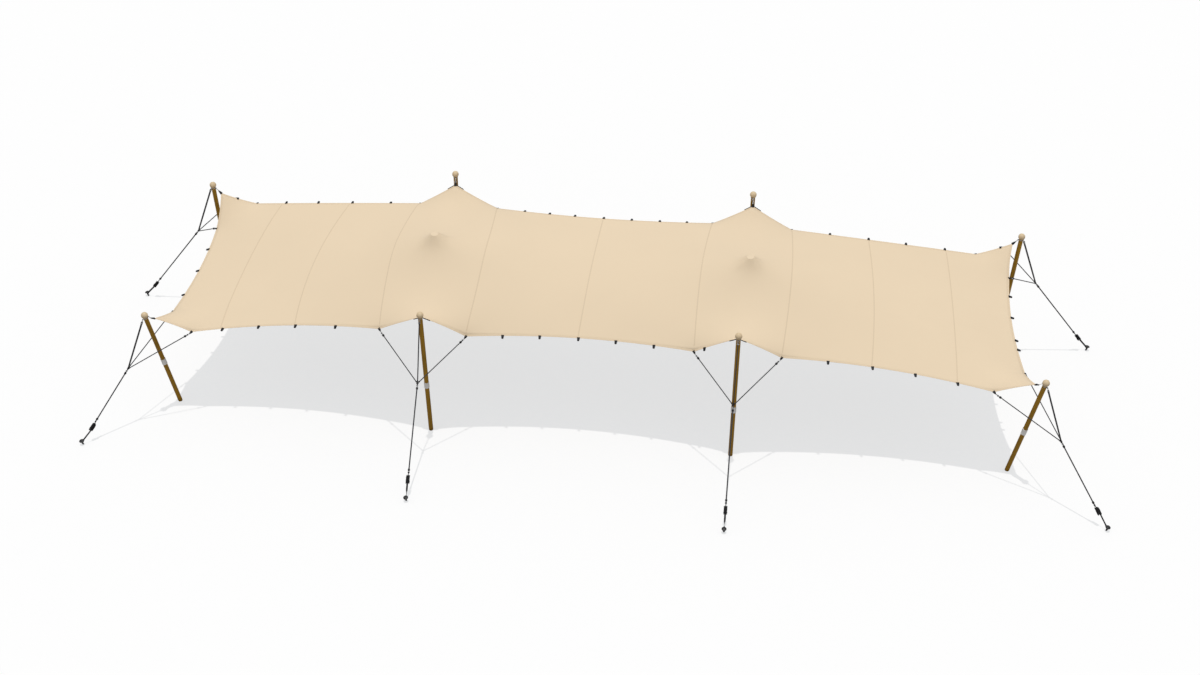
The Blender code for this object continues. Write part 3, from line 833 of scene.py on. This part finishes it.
def grip(name, corner):
    """Place of a clamp on the canopy: X across it, Y up from the cloth and Z out of the cloth."""
    rig = rigging(name)
    corner = Vector(corner)
    target = rig["tip_eye"] if (corner - rig["tip"]).length < 1e-6 else rig["knot"]
    points = net.reshape(-1, 3)
    nearest = np.argsort(np.linalg.norm(points - np.array(corner), axis=1))[:CLAMP_POINTS]
    within = (Vector(points[nearest].mean(axis=0)) - corner).normalized()
    side = within.cross(UPRIGHT).normalized()
    above = side.cross(within).normalized()
    pull = (target - corner).normalized()
    out = ((pull - above * pull.dot(above)).normalized() * CLAMP_PULL - within).normalized()
    return aim(corner, corner + out, above.cross(out))


def edge_eye(name, corner):
    """The eye of the clamp of an edge rope, and the way across the clamp."""
    place = grip(name, corner)
    return place @ Vector((0.0, 0.0, EDGE_CLAMP_REACH)), place.to_3x3().col[0]


zinc = coated_metal("galvanised_steel", ZINC, ZINC_DULL, 60.0, 0.5, Roughness=0.42, Metallic=0.85)
for name in FEET:
    rig = rigging(name)
    collar_place = aim(rig["collar"], HEADS[name], (1.0, 0.0, 0.0))
    parts = [(turned(collar_band, POLE_SIDES, closed=True), collar_place)]
    for key in ("knot", "tip"):
        eye_place = aim(rig[key + "_eye"], rig[key + "_eye"] + rig[key + "_hole"])
        parts.append((turned(eye_ring, 24, closed=True), eye_place))
    strop_place = aim(rig["knot_eye"], rig["knot"], rig["knot_hole"])
    parts.append((shackle(STROP_SHACKLE, SHACKLE_WIDTH, SHACKLE_BAR), strop_place))
    tip_eye = grip(name, rig["tip"]) @ Vector((0.0, 0.0, TIP_CLAMP_REACH))
    reach = (tip_eye - rig["tip_eye"]).length
    parts.append((shackle(reach, SLIM_WIDTH, SLIM_BAR), aim(rig["tip_eye"], tip_eye, rig["tip_hole"])))
    for corner in CLAMPS[name]:
        eye, across = edge_eye(name, corner)
        parts.append((shackle(EDGE_SHACKLE, SLIM_WIDTH, SLIM_BAR), aim(eye, rig["knot"], across)))
    pin = knot_pin(name)
    start = pin + (rig["knot"] - pin).normalized() * KNOT_SHACKLE
    knot_place = aim(start, pin, knot_normal(name).cross(pin - start))
    parts.append((shackle(KNOT_SHACKLE, SLIM_WIDTH, SLIM_BAR), knot_place))
    piece("shackles_" + name, joined(parts), zinc, ["guy_set_" + name])


# Clamps and rings. Black powder-coated plates bolted together through the hem grip the canopy at each
# tip and rope, and hold the eye for the shackle. Black bars stiffen the hem beside the middle tips; they are
# also painted shade, dark bars laid where the hem's edge is shaded. A welded black ring gathers the lines
# of each pole.
BLACK, BLACK_WORN = (0.008, 0.008, 0.009), (0.070, 0.070, 0.073)
PLATE = 0.0045
TOP_GAP, UNDER_GAP = 0.0018, 0.0034
TIP_CLAMP_WIDTH, EDGE_CLAMP_WIDTH = 0.046, 0.042
WING_LENGTH, WING_BAR = 0.165, 0.0075
WING_OUT, WING_UNDER = 0.010, 0.002             # from the canopy's edge to the bar's middle


def plate(outline, thickness, bevel=0.001):
    """A flat plate of an outline in the local XZ plane, with its edges eased."""
    shape = bmesh.new()
    face = shape.faces.new([shape.verts.new((x, 0.0, z)) for x, z in outline])
    grown = bmesh.ops.extrude_face_region(shape, geom=[face])
    risen = [item for item in grown["geom"] if isinstance(item, bmesh.types.BMVert)]
    bmesh.ops.translate(shape, verts=risen, vec=(0.0, thickness, 0.0))
    bmesh.ops.recalc_face_normals(shape, faces=shape.faces[:])
    bmesh.ops.bevel(shape, geom=shape.edges[:], offset=bevel, offset_type="OFFSET", segments=2, profile=0.5,
                    affect="EDGES", material=-1, clamp_overlap=True)
    return shape


def rounded(corners, radius, steps=4):
    """An outline whose corners are turned with curves."""
    outline = []
    for before, corner, after in zip(corners[-1:] + corners[:-1], corners, corners[1:] + corners[:1]):
        corner = Vector(corner)
        start = corner + (Vector(before) - corner).normalized() * radius
        end = corner + (Vector(after) - corner).normalized() * radius
        for number in range(steps + 1):
            share = number / steps
            toward = start * (1 - share) ** 2 + corner * (2 * share * (1 - share))
            outline.append(tuple(toward + end * share ** 2))
    return outline


def tapered(wide, slim, low, high, radius):
    """A rounded outline from a low end of one half width to a high end of another."""
    return rounded([(-wide, low), (wide, low), (slim, high), (-slim, high)], radius)


def jaws(width, reach):
    """Two bolted plates with a spacer and an eye, gripping cloth that ends at the local origin."""
    wide, slim = width / 2.0, 0.011
    outline = rounded([(-wide, -0.020), (wide, -0.020), (wide, 0.004), (slim, reach - 0.006),
                       (-slim, reach - 0.006), (-wide, 0.004)], 0.006)
    spacer = tapered(wide - 0.004, slim - 0.002, 0.004, reach - 0.008, 0.003)
    bottom, top = -UNDER_GAP - PLATE, TOP_GAP + PLATE
    bolt = ((bottom - 0.004, 0.0), (bottom - 0.004, 0.0055), (bottom, 0.0055), (bottom, 0.003), (top, 0.003),
            (top, 0.0055), (top + 0.0035, 0.0052), (top + 0.004, 0.0))
    upright = Matrix.Rotation(-math.pi / 2.0, 4, "X")
    parts = [(plate(outline, PLATE), moved(0.0, TOP_GAP, 0.0)),
             (plate(outline, PLATE), moved(0.0, bottom, 0.0)),
             (plate(spacer, TOP_GAP + UNDER_GAP, 0.0004), moved(0.0, -UNDER_GAP, 0.0))]
    for x, z in ((-wide * 0.62, -0.010), (wide * 0.62, -0.010), (0.0, 0.018)):
        parts.append((turned(bolt, 6), moved(x, 0.0, z) @ upright))
    parts.append((turned(eye_ring, 24, closed=True), moved(0.0, 0.0, reach) @ crosswise))
    return joined(parts)


def edge_walks(corner, reach):
    """The canopy's edge from a tip out to this reach on both sides, just under and outside the hem."""
    start = int(np.argmin(np.linalg.norm(rim - np.array(corner), axis=1)))
    walks = []
    for step in (-1, 1):
        walk, gone, index = [], 0.0, start
        while gone < reach:
            outside = -inward[index] * WING_OUT - upward[index] * WING_UNDER
            walk.append(rim[index] + outside)
            before, index = index, (index + step) % len(rim)
            stride = np.linalg.norm(rim[index] - rim[before])
            rest, gone = reach - gone, gone + stride
        walk.append(rim[before] + (rim[index] - rim[before]) * rest / stride + outside)
        walks.append(walk)
    return walks


black_coat = coated_metal("black_powder_coat", BLACK, BLACK_WORN, 70.0, 0.8, Roughness=0.5,
                          Specular_IOR_Level=0.15)
bar_circle = [(KNOT_BAR * math.sin(math.radians(angle)), KNOT_RING + KNOT_BAR * math.cos(math.radians(angle)))
              for angle in range(0, 360, 30)]
for name in FEET:
    rig = rigging(name)
    parts = [(jaws(TIP_CLAMP_WIDTH, TIP_CLAMP_REACH), grip(name, rig["tip"]))]
    # The bars beside a middle tip are black stiffeners, and also painted shade along the hem's shaded edge.
    if "_mid_" in name:
        parts += [(swept(walk, WING_BAR), Matrix()) for walk in edge_walks(rig["tip"], WING_LENGTH)]
    parts += [(jaws(EDGE_CLAMP_WIDTH, EDGE_CLAMP_REACH), grip(name, corner)) for corner in CLAMPS[name]]
    ring_place = aim(rig["knot"], rig["knot"] + knot_normal(name), (1.0, 0.0, 0.0))
    parts.append((turned(bar_circle, 32, closed=True), ring_place))
    piece("clamps_" + name, joined(parts), black_coat, ["guy_set_" + name])


# Edge clips. Small black plastic snap clips bite on the hem between the poles. Side curtains hang from
# them, so their thick tongues stick out past the edge. They, the hem and the tapes go with the cloth.
CLIPS = {          # along the tent on the long edges, across it on the ends
    "front": (-6.21, -5.58, -4.93, -4.22, -1.36, -0.74, -0.09, 0.54, 1.18, 2.02, 4.05, 4.78, 5.48, 6.17),
    "back": (-6.44, -5.86, -5.24, -4.60, -3.90, -1.44, -0.98, -0.52, 0.00, 0.50, 1.00, 1.48, 4.02, 4.70, 5.36,
             6.05, 6.60),
    "left": (0.48, -0.02, -0.57),
    "right": (0.68, 0.20, -0.30, -0.50),
}
CLIP_WIDTH = 0.048
CLIP_TONGUE, TONGUE_THICKNESS = 0.050, 0.012
CLIP_PLATE = 0.0035


def edge_place(edge, where):
    """Place on the canopy's edge: X along it, Y up from the cloth and Z out of the cloth."""
    line, inner, axis = {"front": (net[0], net[1], 0), "back": (net[-1], net[-2], 0),
                         "left": (net[:, 0], net[:, 1], 1), "right": (net[:, -1], net[:, -2], 1)}[edge]
    number = float(np.interp(where, line[:, axis], np.arange(len(line))))
    low = min(int(number), len(line) - 2)
    point = Vector(line[low] + (line[low + 1] - line[low]) * (number - low))
    inside = Vector(inner[low] + (inner[low + 1] - inner[low]) * (number - low))
    along = Vector(line[low + 1] - line[low]).normalized()
    if along.cross(inside - point).z < 0.0:
        along = -along
    return aim(point, 2.0 * point - inside, along)


half = CLIP_WIDTH / 2.0
jaw = tapered(half, half, -0.014, 0.006, 0.003)
tongue = tapered(half, 0.016, 0.0, CLIP_TONGUE, 0.008)
droop = moved(0.0, -0.0065, 0.003) @ Matrix.Rotation(math.radians(5.0), 4, "X")
clip = joined([(plate(jaw, CLIP_PLATE, 0.0008), moved(0.0, TOP_GAP, 0.0)),
               (plate(jaw, CLIP_PLATE, 0.0008), moved(0.0, -UNDER_GAP - CLIP_PLATE, 0.0)),
               (plate(tongue, TONGUE_THICKNESS, 0.0025), droop)])
places = [edge_place(edge, where) for edge, spots in CLIPS.items() for where in spots]
edge_clips = piece("edge_clips", joined([(clip, place) for place in places]), black_coat)


# Guy lines. Black braided polyester. A doubled strop runs from the collar to the ring, a rope from each
# edge clamp, and one thicker rope on to the ratchet. Ferrules with steel eyes are pressed on their ends.
STROP_ROPE, EDGE_ROPE, MAIN_ROPE = 0.0078, 0.0084, 0.0108
STROP_WIDE, STROP_SLIM = 0.0115, 0.0082        # half of its width round the pin, and where its legs lie close
ROPE_SIDES = 14
EYE_LOOP, EYE_BAR = 0.0124, 0.0052
EYE_LENGTH, KNOT_EYE_LENGTH = 0.028, 0.016
FERRULE_LENGTH, FERRULE_RADIUS = 0.036, 0.0185
KNOT_FERRULE_LENGTH, KNOT_FERRULE_RADIUS = 0.022, 0.0125
BRAID_PITCH = 0.016
HOOK_START, RATCHET_START = 0.398, 0.355       # back from the strap's lug at the stake
HOOK_EYE = 0.011
ROPE_DARK, ROPE_LIGHT = (0.018, 0.019, 0.021), (0.060, 0.063, 0.068)


def rope_end(at, toward, across, at_ring=False):
    """A steel eye round a point with its pressed ferrule, and the point where the rope starts."""
    place = aim(at, toward, across)
    reach, length, outer = ((KNOT_EYE_LENGTH, KNOT_FERRULE_LENGTH, KNOT_FERRULE_RADIUS) if at_ring else
                            (EYE_LENGTH, FERRULE_LENGTH, FERRULE_RADIUS))
    loop = [(0.0024, 0.0, reach + 0.008), (0.0030, 0.0, reach)]
    loop += arc((0.0, 0.0, 0.0), EYE_LOOP, 50.0, -230.0, 19)
    loop += [(-0.0030, 0.0, reach), (-0.0024, 0.0, reach + 0.008)]
    pressed = turned(((0.0, 0.0), (0.0, outer - 0.004), (0.004, outer), (length - 0.006, outer),
                      (length, outer - 0.003), (length, 0.0)), 20)
    ferrule_place = place @ moved(0.0, 0.0, reach - 0.002)
    start = place @ Vector((0.0, 0.0, reach + length - 0.010))
    return [(swept(loop, EYE_BAR, across=(0.0, 1.0, 0.0)), place), (pressed, ferrule_place)], start


def rope_between(near, far, radius):
    """A rope and its ends' fittings. An end is its point, the way across its eye and if it is at a ring."""
    near_end, start = rope_end(near[0], far[0], *near[1:])
    far_end, stop = rope_end(far[0], near[0], *far[1:])
    path = [tuple(start.lerp(stop, number / 12.0)) for number in range(13)]
    return (swept(path, radius, ROPE_SIDES), Matrix()), near_end + far_end


braid, given, result = effect("braid", dict(Round="Float", Along="Float", Strands="Float", Pitch="Float"),
                              dict(Height="Float", Mask="Float"))
spun = times(braid, given["Round"], given["Strands"])
laid = sums(braid, "DIVIDE", given["Along"], given["Pitch"])
one = sums(braid, "SINE", times(braid, plus(braid, spun, laid), 2.0 * math.pi))
two = sums(braid, "SINE", times(braid, sums(braid, "SUBTRACT", spun, laid), 2.0 * math.pi))
woven = times(braid, one, two)
braid.links.new(sums(braid, "ABSOLUTE", woven), result["Height"])
braid.links.new(sums(braid, "GREATER_THAN", woven, 0.0), result["Mask"])

rope, tree, shader = finish("braided_polyester", Roughness=0.62, Sheen_Weight=0.3, Specular_IOR_Level=0.3)
lay = parts_of(tree, lay_of(tree))
braided = use(tree, braid, {"Round": lay["X"], "Along": lay["Y"], "Strands": 6.0, "Pitch": BRAID_PITCH})
flecked = noise(tree, place_of(tree), 160.0)
light = times(tree, plus(tree, braided["Mask"], flecked), 0.5)
tree.links.new(blend(tree, light, ROPE_DARK, ROPE_LIGHT), shader.inputs["Base Color"])
raised(tree, shader, braided["Height"], 0.0008, 0.9)

for name in FEET:
    rig = rigging(name)
    knot, normal = rig["knot"], knot_normal(name)
    pin = rig["knot_eye"] + (knot - rig["knot_eye"]).normalized() * STROP_SHACKLE
    low_end = ring_point(name, pin)
    ferrules, close = rope_end(low_end, pin, normal, True)
    legs = aim(pin, low_end, rig["knot_hole"].cross(low_end - pin))
    gathered = (close - pin).length
    leg = [(STROP_SLIM - 0.002, gathered), (STROP_SLIM, 0.6 * gathered), (STROP_SLIM, 0.05),
           (STROP_WIDE, 0.015)]
    strop = [(out, 0.0, down) for out, down in leg]
    strop += arc((0.0, 0.0, 0.0), STROP_WIDE, 0.0, -180.0, 13)
    strop += [(-out, 0.0, down) for out, down in reversed(leg)]
    ropes = [(swept(strop, STROP_ROPE, ROPE_SIDES), legs)]
    runs = []
    for corner in CLAMPS[name]:
        eye, side = edge_eye(name, corner)
        way = (knot - eye).normalized()
        near = (eye + way * EDGE_SHACKLE, way.cross(side))
        runs.append((near, (ring_point(name, eye), normal, True), EDGE_ROPE))
    lug, line = main_line(name)
    level = line.cross(UPRIGHT).normalized()
    hook_end = lug - line * (HOOK_START + HOOK_EYE)
    runs.append(((knot_pin(name), normal), (hook_end, level), MAIN_ROPE))
    for near, far, radius in runs:
        run, fittings = rope_between(near, far, radius)
        ropes.append(run)
        ferrules += fittings
    piece("ropes_" + name, joined(ropes), rope, ["guy_set_" + name])
    piece("ferrules_" + name, joined(ferrules), black_coat, ["guy_set_" + name])


# Ratchets. A black steel hook on the main rope's end holds the ratchet that tightens the strap: a base
# folded from plate, a slotted spool between toothed wheels, a handle folded shut over it and its pawl.
RATCHET_LENGTH = 0.135
SPOOL_PLACE = 0.100
SPOOL_RADIUS = 0.0110
TEETH = 11
FRAME_HALF = 0.0235
HOOK_BAR = 0.0070
RATCHET_PLATE, WHEEL_PLATE = 0.003, 0.0035

sidewise = Matrix.Rotation(math.pi / 2.0, 4, "Z")


def strap_level(name):
    """Direction of a strap's width at its ratchet: level on the middle lines, upright on the corners."""
    line = main_line(name)[1]
    level = line.cross(UPRIGHT).normalized()
    return level if "_mid_" in name else level.cross(line)


def toothed_wheel():
    outline = []
    for number in range(TEETH):
        for share, radius in ((0.0, 0.0245), (0.25, 0.0240), (0.95, 0.0175)):
            angle = 2.0 * math.pi * (number + share) / TEETH
            outline.append((radius * math.cos(angle), radius * math.sin(angle)))
    return plate(outline, WHEEL_PLATE, 0.0004)


def ratchet():
    """The ratchet with its crossbar at the origin, its strap side towards +Z and its handle on +Y."""
    length, out = RATCHET_LENGTH, FRAME_HALF + 0.006
    base = rounded([(-0.010, -0.012), (0.016, -0.012), (0.024, SPOOL_PLACE), (0.014, length),
                    (-0.012, length), (-0.017, SPOOL_PLACE)], 0.006)
    arm = rounded([(0.012, 0.006), (0.024, 0.002), (0.034, 0.040), (0.026, length - 0.004), (-0.004, length),
                   (-0.006, SPOOL_PLACE - 0.016), (0.012, 0.052)], 0.004)
    rod = alike_ends(((out, 0.0), (out, 0.0050), (out - 0.003, 0.0058)))
    spool = alike_ends(((out + 0.003, 0.0), (out + 0.003, 0.009), (out, SPOOL_RADIUS)))
    inner = FRAME_HALF + 0.002
    grip_bar = tapered(inner, inner, 0.0, 0.020, 0.005)
    pawl = tapered(0.014, 0.018, 0.0, 0.020, 0.003)
    back = tapered(inner, inner, 0.010, 0.074, 0.004)
    cover = tapered(inner, inner, 0.026, length - 0.008, 0.004)
    parts = [(turned(rod, 18), crosswise),
             (turned(spool, 24), moved(0.0, 0.0, SPOOL_PLACE) @ crosswise),
             (plate(grip_bar, 0.013, 0.003), moved(0.0, 0.017, 0.004)),
             (plate(pawl, 0.004), moved(0.0, 0.020, 0.052)),
             (plate(back, 0.003), moved(0.0, -0.012, 0.0)),
             (plate(cover, 0.004), moved(0.0, 0.027, 0.0))]
    for side in (-1.0, 1.0):
        for shape, off, thickness, along in ((plate(base, RATCHET_PLATE), 0.0, RATCHET_PLATE, 0.0),
                                             (plate(arm, RATCHET_PLATE), 0.0042, RATCHET_PLATE, 0.0),
                                             (toothed_wheel(), -0.0042, WHEEL_PLATE, SPOOL_PLACE)):
            flank = side * (FRAME_HALF + off) + thickness / 2.0
            parts.append((shape, moved(flank, 0.0, along) @ sidewise))
    return joined(parts)


def hook(length):
    """An open hook from its eye at the origin round a crossbar at z = length."""
    ring = arc((0.0, 0.0, 0.0), HOOK_EYE, -250.0, 90.0, 19, plane=(1, 2))
    bend = arc((0.0, 0.0, length), 0.0130, -20.0, 215.0, 17, plane=(1, 2))
    return swept(ring + [(0.0, 0.0060, 0.0150)] + bend, HOOK_BAR, across=(1.0, 0.0, 0.0))


for name in FEET:
    lug, line = main_line(name)
    level = strap_level(name)
    parts = [(ratchet(), aim(lug - line * RATCHET_START, lug, -level)),
             (hook(HOOK_START - RATCHET_START), aim(lug - line * HOOK_START, lug, -level))]
    piece("ratchet_" + name, joined(parts), black_coat, ["guy_set_" + name])


# Straps. Black polyester webbing, looped round the stake under its head, sewn back on itself and wound on
# the ratchet's spool. At the middle poles it turns a quarter on its way up.
WEB_WIDTH, WEB_THICKNESS = 0.031, 0.0036
LOOP_LENGTH = 0.060
WRAP_GAP = 0.0008                     # between the stake and the loop
WOUND_RADIUS, WOUND_DEPTH, WOUND_STEPS = 0.0225, 0.0125, 64
WEB_PAINTED_SHADE, WEB_PAINTED_HIGHLIGHT = (0.012, 0.012, 0.014), (0.045, 0.046, 0.050)
RIB_PITCH, HERRING_WIDTH = 0.0030, 0.008


def ribbon(path, across, width, thickness):
    """A flat band along a path, whose width follows a direction given at each point."""
    path = np.asarray(path, float)
    rows = []
    for point, way, side in zip(path, np.gradient(path, axis=0), np.asarray(across, float)):
        way = way / np.linalg.norm(way)
        side = side - way * np.dot(side, way)
        side = side / np.linalg.norm(side)
        above = np.cross(way, side)
        half, thick = width / 2.0, thickness / 2.0
        edge = [(half - 0.001, 1.0), (half, 0.3)]
        over = [(-out, rise) for out, rise in reversed(edge)] + edge
        section = over + [(out, -rise) for out, rise in reversed(over)]
        rows.append([point + side * out + above * (rise * thick) for out, rise in section])
    return skin(rows)


def strap_path(name):
    """A strap's way round its stake and up to the spool, and the direction of its width on that way."""
    hold, axis = strap_hold(name)
    lug, line = main_line(name)
    level = strap_level(name)
    reach = (lug - hold).normalized()
    side = axis.cross(reach)
    wrap = STAKE_RADIUS + WRAP_GAP + WEB_THICKNESS / 2.0
    gather = hold + (lug - line * RATCHET_START - hold).normalized() * LOOP_LENGTH
    apart = side * (WEB_THICKNESS / 2.0)
    path = [(gather + apart).lerp(hold + side * wrap + reach * 0.008, share) for share in (0.0, 0.35, 0.7)]
    for number in range(17):
        angle = math.pi / 2.0 + math.pi * number / 16.0
        path.append(hold + reach * (wrap * math.cos(angle)) + side * (wrap * math.sin(angle)))
    path += [(gather - apart).lerp(hold - side * wrap + reach * 0.008, share) for share in (0.7, 0.35, 0.0)]
    across = [axis] * len(path)
    spool = lug - line * (RATCHET_START - SPOOL_PLACE)
    above = level.cross(line)
    flat = level if axis.dot(level) >= 0.0 else -level
    for number in range(1, 25):
        share = number / 24.0
        turn = min(max((share - 0.05) / 0.6, 0.0), 1.0)
        path.append((gather - apart).lerp(spool + above * WOUND_RADIUS, share))
        across.append(axis.lerp(flat, turn * turn * (3.0 - 2.0 * turn)))
    for number in range(1, WOUND_STEPS - 4):
        angle = math.pi / 2.0 + number * math.pi / 12.0
        radius = WOUND_RADIUS - WOUND_DEPTH * number / WOUND_STEPS
        path.append(spool + line * (radius * math.cos(angle)) + above * (radius * math.sin(angle)))
        across.append(flat)
    return [tuple(point) for point in path], [tuple(way) for way in across]


webbing, tree, shader = finish("polyester_webbing", Roughness=0.68, Sheen_Weight=0.25,
                               Specular_IOR_Level=0.25)
lay = parts_of(tree, lay_of(tree))
girth = times(tree, lay["X"], 2.0 * (WEB_WIDTH + WEB_THICKNESS))
herring = sums(tree, "PINGPONG", sums(tree, "DIVIDE", girth, HERRING_WIDTH), 0.5)
rib = plus(tree, sums(tree, "DIVIDE", lay["Y"], RIB_PITCH), times(tree, herring, 2.0))
wave = sums(tree, "SINE", times(tree, rib, 2.0 * math.pi))
risen = spread_over(tree, wave, -1.0, 1.0)
# Painted highlight and shade: the ribs of the weave are coloured lighter and its hollows darker, following
# its relief.
tree.links.new(blend(tree, risen, WEB_PAINTED_SHADE, WEB_PAINTED_HIGHLIGHT), shader.inputs["Base Color"])
raised(tree, shader, risen, 0.0005, 0.8)
for name in FEET:
    shape = ribbon(*strap_path(name), WEB_WIDTH, WEB_THICKNESS)
    piece("strap_" + name, shape, webbing, ["guy_set_" + name], smooth_below=50.0)


# Ground stakes. Forged steel pins painted black, driven at a slant away from the tent, with a wide
# domed head that keeps the strap on. The heads are scuffed grey by the hammer.
STAKE_LENGTH = 0.096
STAKE_HEAD_RADIUS = 0.041
STAKE_HEAD_THICKNESS = 0.022
STAKE_BLACK, STAKE_SCUFFED = (0.014, 0.014, 0.015), (0.15, 0.15, 0.15)

under = STAKE_LENGTH - STAKE_HEAD_THICKNESS
pin = [(-SUNK, 0.0), (-SUNK, STAKE_RADIUS), (under - 0.006, STAKE_RADIUS), (under, STAKE_RADIUS + 0.005),
       (under + 0.002, STAKE_HEAD_RADIUS - 0.006), (under + 0.004, STAKE_HEAD_RADIUS - 0.001),
       (under + 0.008, STAKE_HEAD_RADIUS), (under + 0.012, STAKE_HEAD_RADIUS - 0.001)]
pin += [(under + 0.012 + 0.010 * math.sin(math.radians(angle)), (STAKE_HEAD_RADIUS - 0.002)
         * math.cos(math.radians(angle))) for angle in (15.0, 30.0, 45.0, 60.0, 75.0)]
pin.append((STAKE_LENGTH, 0.0))
forged = coated_metal("black_forged_steel", STAKE_BLACK, STAKE_SCUFFED, 45.0, 1.1, Roughness=0.5,
                      Specular_IOR_Level=0.35)
for name in FEET:
    shape = joined([(turned(pin, 40), stake_frame(name))])
    cut_at_ground(shape)
    piece("ground_stake_" + name + "_pin", shape, forged, ["ground_stake_" + name])


# Floor, light and camera. A seamless white studio floor under an even white sky, with a high sun
# straight over the tent, seen from the front and above.
SKY_SHARE, SUN_SHARE = 0.45, 0.55
SUN_WIDTH = math.radians(0.8)
FLOOR_COLOUR = (0.352, 0.337, 0.322)
FLOOR_LIT = 0.990                     # what the camera sees of the floor in full light
FLOOR_MOTTLE = 0.004
FLOOR_REACH, FLOOR_DROP = 400.0, 0.001
SKY_SEEN = 0.99
CAMERA_PLACE = (2.8, -22.749, 18.145)
CAMERA_YAW, CAMERA_PITCH, CAMERA_ROLL = math.radians(6.75), math.radians(36.827), math.radians(0.13)
FOCAL_PIXELS, PICTURE_PIXELS, SENSOR = 1615.3, 1200.0, 36.0

studio, tree, shader = finish("studio_floor", Roughness=0.9, Specular_IOR_Level=0.0)
paler = tuple(channel + FLOOR_MOTTLE for channel in FLOOR_COLOUR)
mottled = blend(tree, noise(tree, place_of(tree), 3.0), FLOOR_COLOUR, paler)
tree.links.new(mottled, shader.inputs["Base Color"])
shader.inputs["Emission Color"].default_value = (*[FLOOR_LIT - channel for channel in FLOOR_COLOUR], 1.0)
tree.links.new(node(tree, "LightPath").outputs["Is Camera Ray"], shader.inputs["Emission Strength"])
shape = bmesh.new()
bmesh.ops.create_grid(shape, x_segments=1, y_segments=1, size=FLOOR_REACH)
bmesh.ops.translate(shape, vec=(0.0, 0.0, -FLOOR_DROP), verts=shape.verts[:])
floor = put("studio_floor", shape, studio)
floor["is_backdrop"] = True

sky = bpy.data.worlds.new("even_sky")
sky.use_nodes = True
backdrop = sky.node_tree.nodes["Background"]
backdrop.inputs["Color"].default_value = (1.0, 1.0, 1.0, 1.0)
seen = node(sky.node_tree, "LightPath").outputs["Is Camera Ray"]
strength = spread_over(sky.node_tree, seen, 0.0, 1.0, SKY_SHARE, SKY_SEEN)
sky.node_tree.links.new(strength, backdrop.inputs["Strength"])
bpy.context.scene.world = sky

lamp = bpy.data.lights.new("high_sun", "SUN")
lamp.energy = SUN_SHARE * math.pi
lamp.angle = SUN_WIDTH
sun = bpy.data.objects.new("high_sun", lamp)
bpy.context.scene.collection.objects.link(sun)

lens = bpy.data.cameras.new("studio_camera")
lens.sensor_width = SENSOR
lens.lens = FOCAL_PIXELS * SENSOR / PICTURE_PIXELS
lens.clip_end = 1000.0
camera = bpy.data.objects.new("studio_camera", lens)
turn = Matrix.Rotation(CAMERA_YAW, 4, "Z") @ Matrix.Rotation(math.pi / 2.0 - CAMERA_PITCH, 4, "X")
camera.matrix_world = Matrix.Translation(CAMERA_PLACE) @ turn @ Matrix.Rotation(CAMERA_ROLL, 4, "Z")
bpy.context.scene.collection.objects.link(camera)
bpy.context.scene.camera = camera
bpy.context.scene.view_settings.view_transform = "Standard"

low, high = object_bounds()
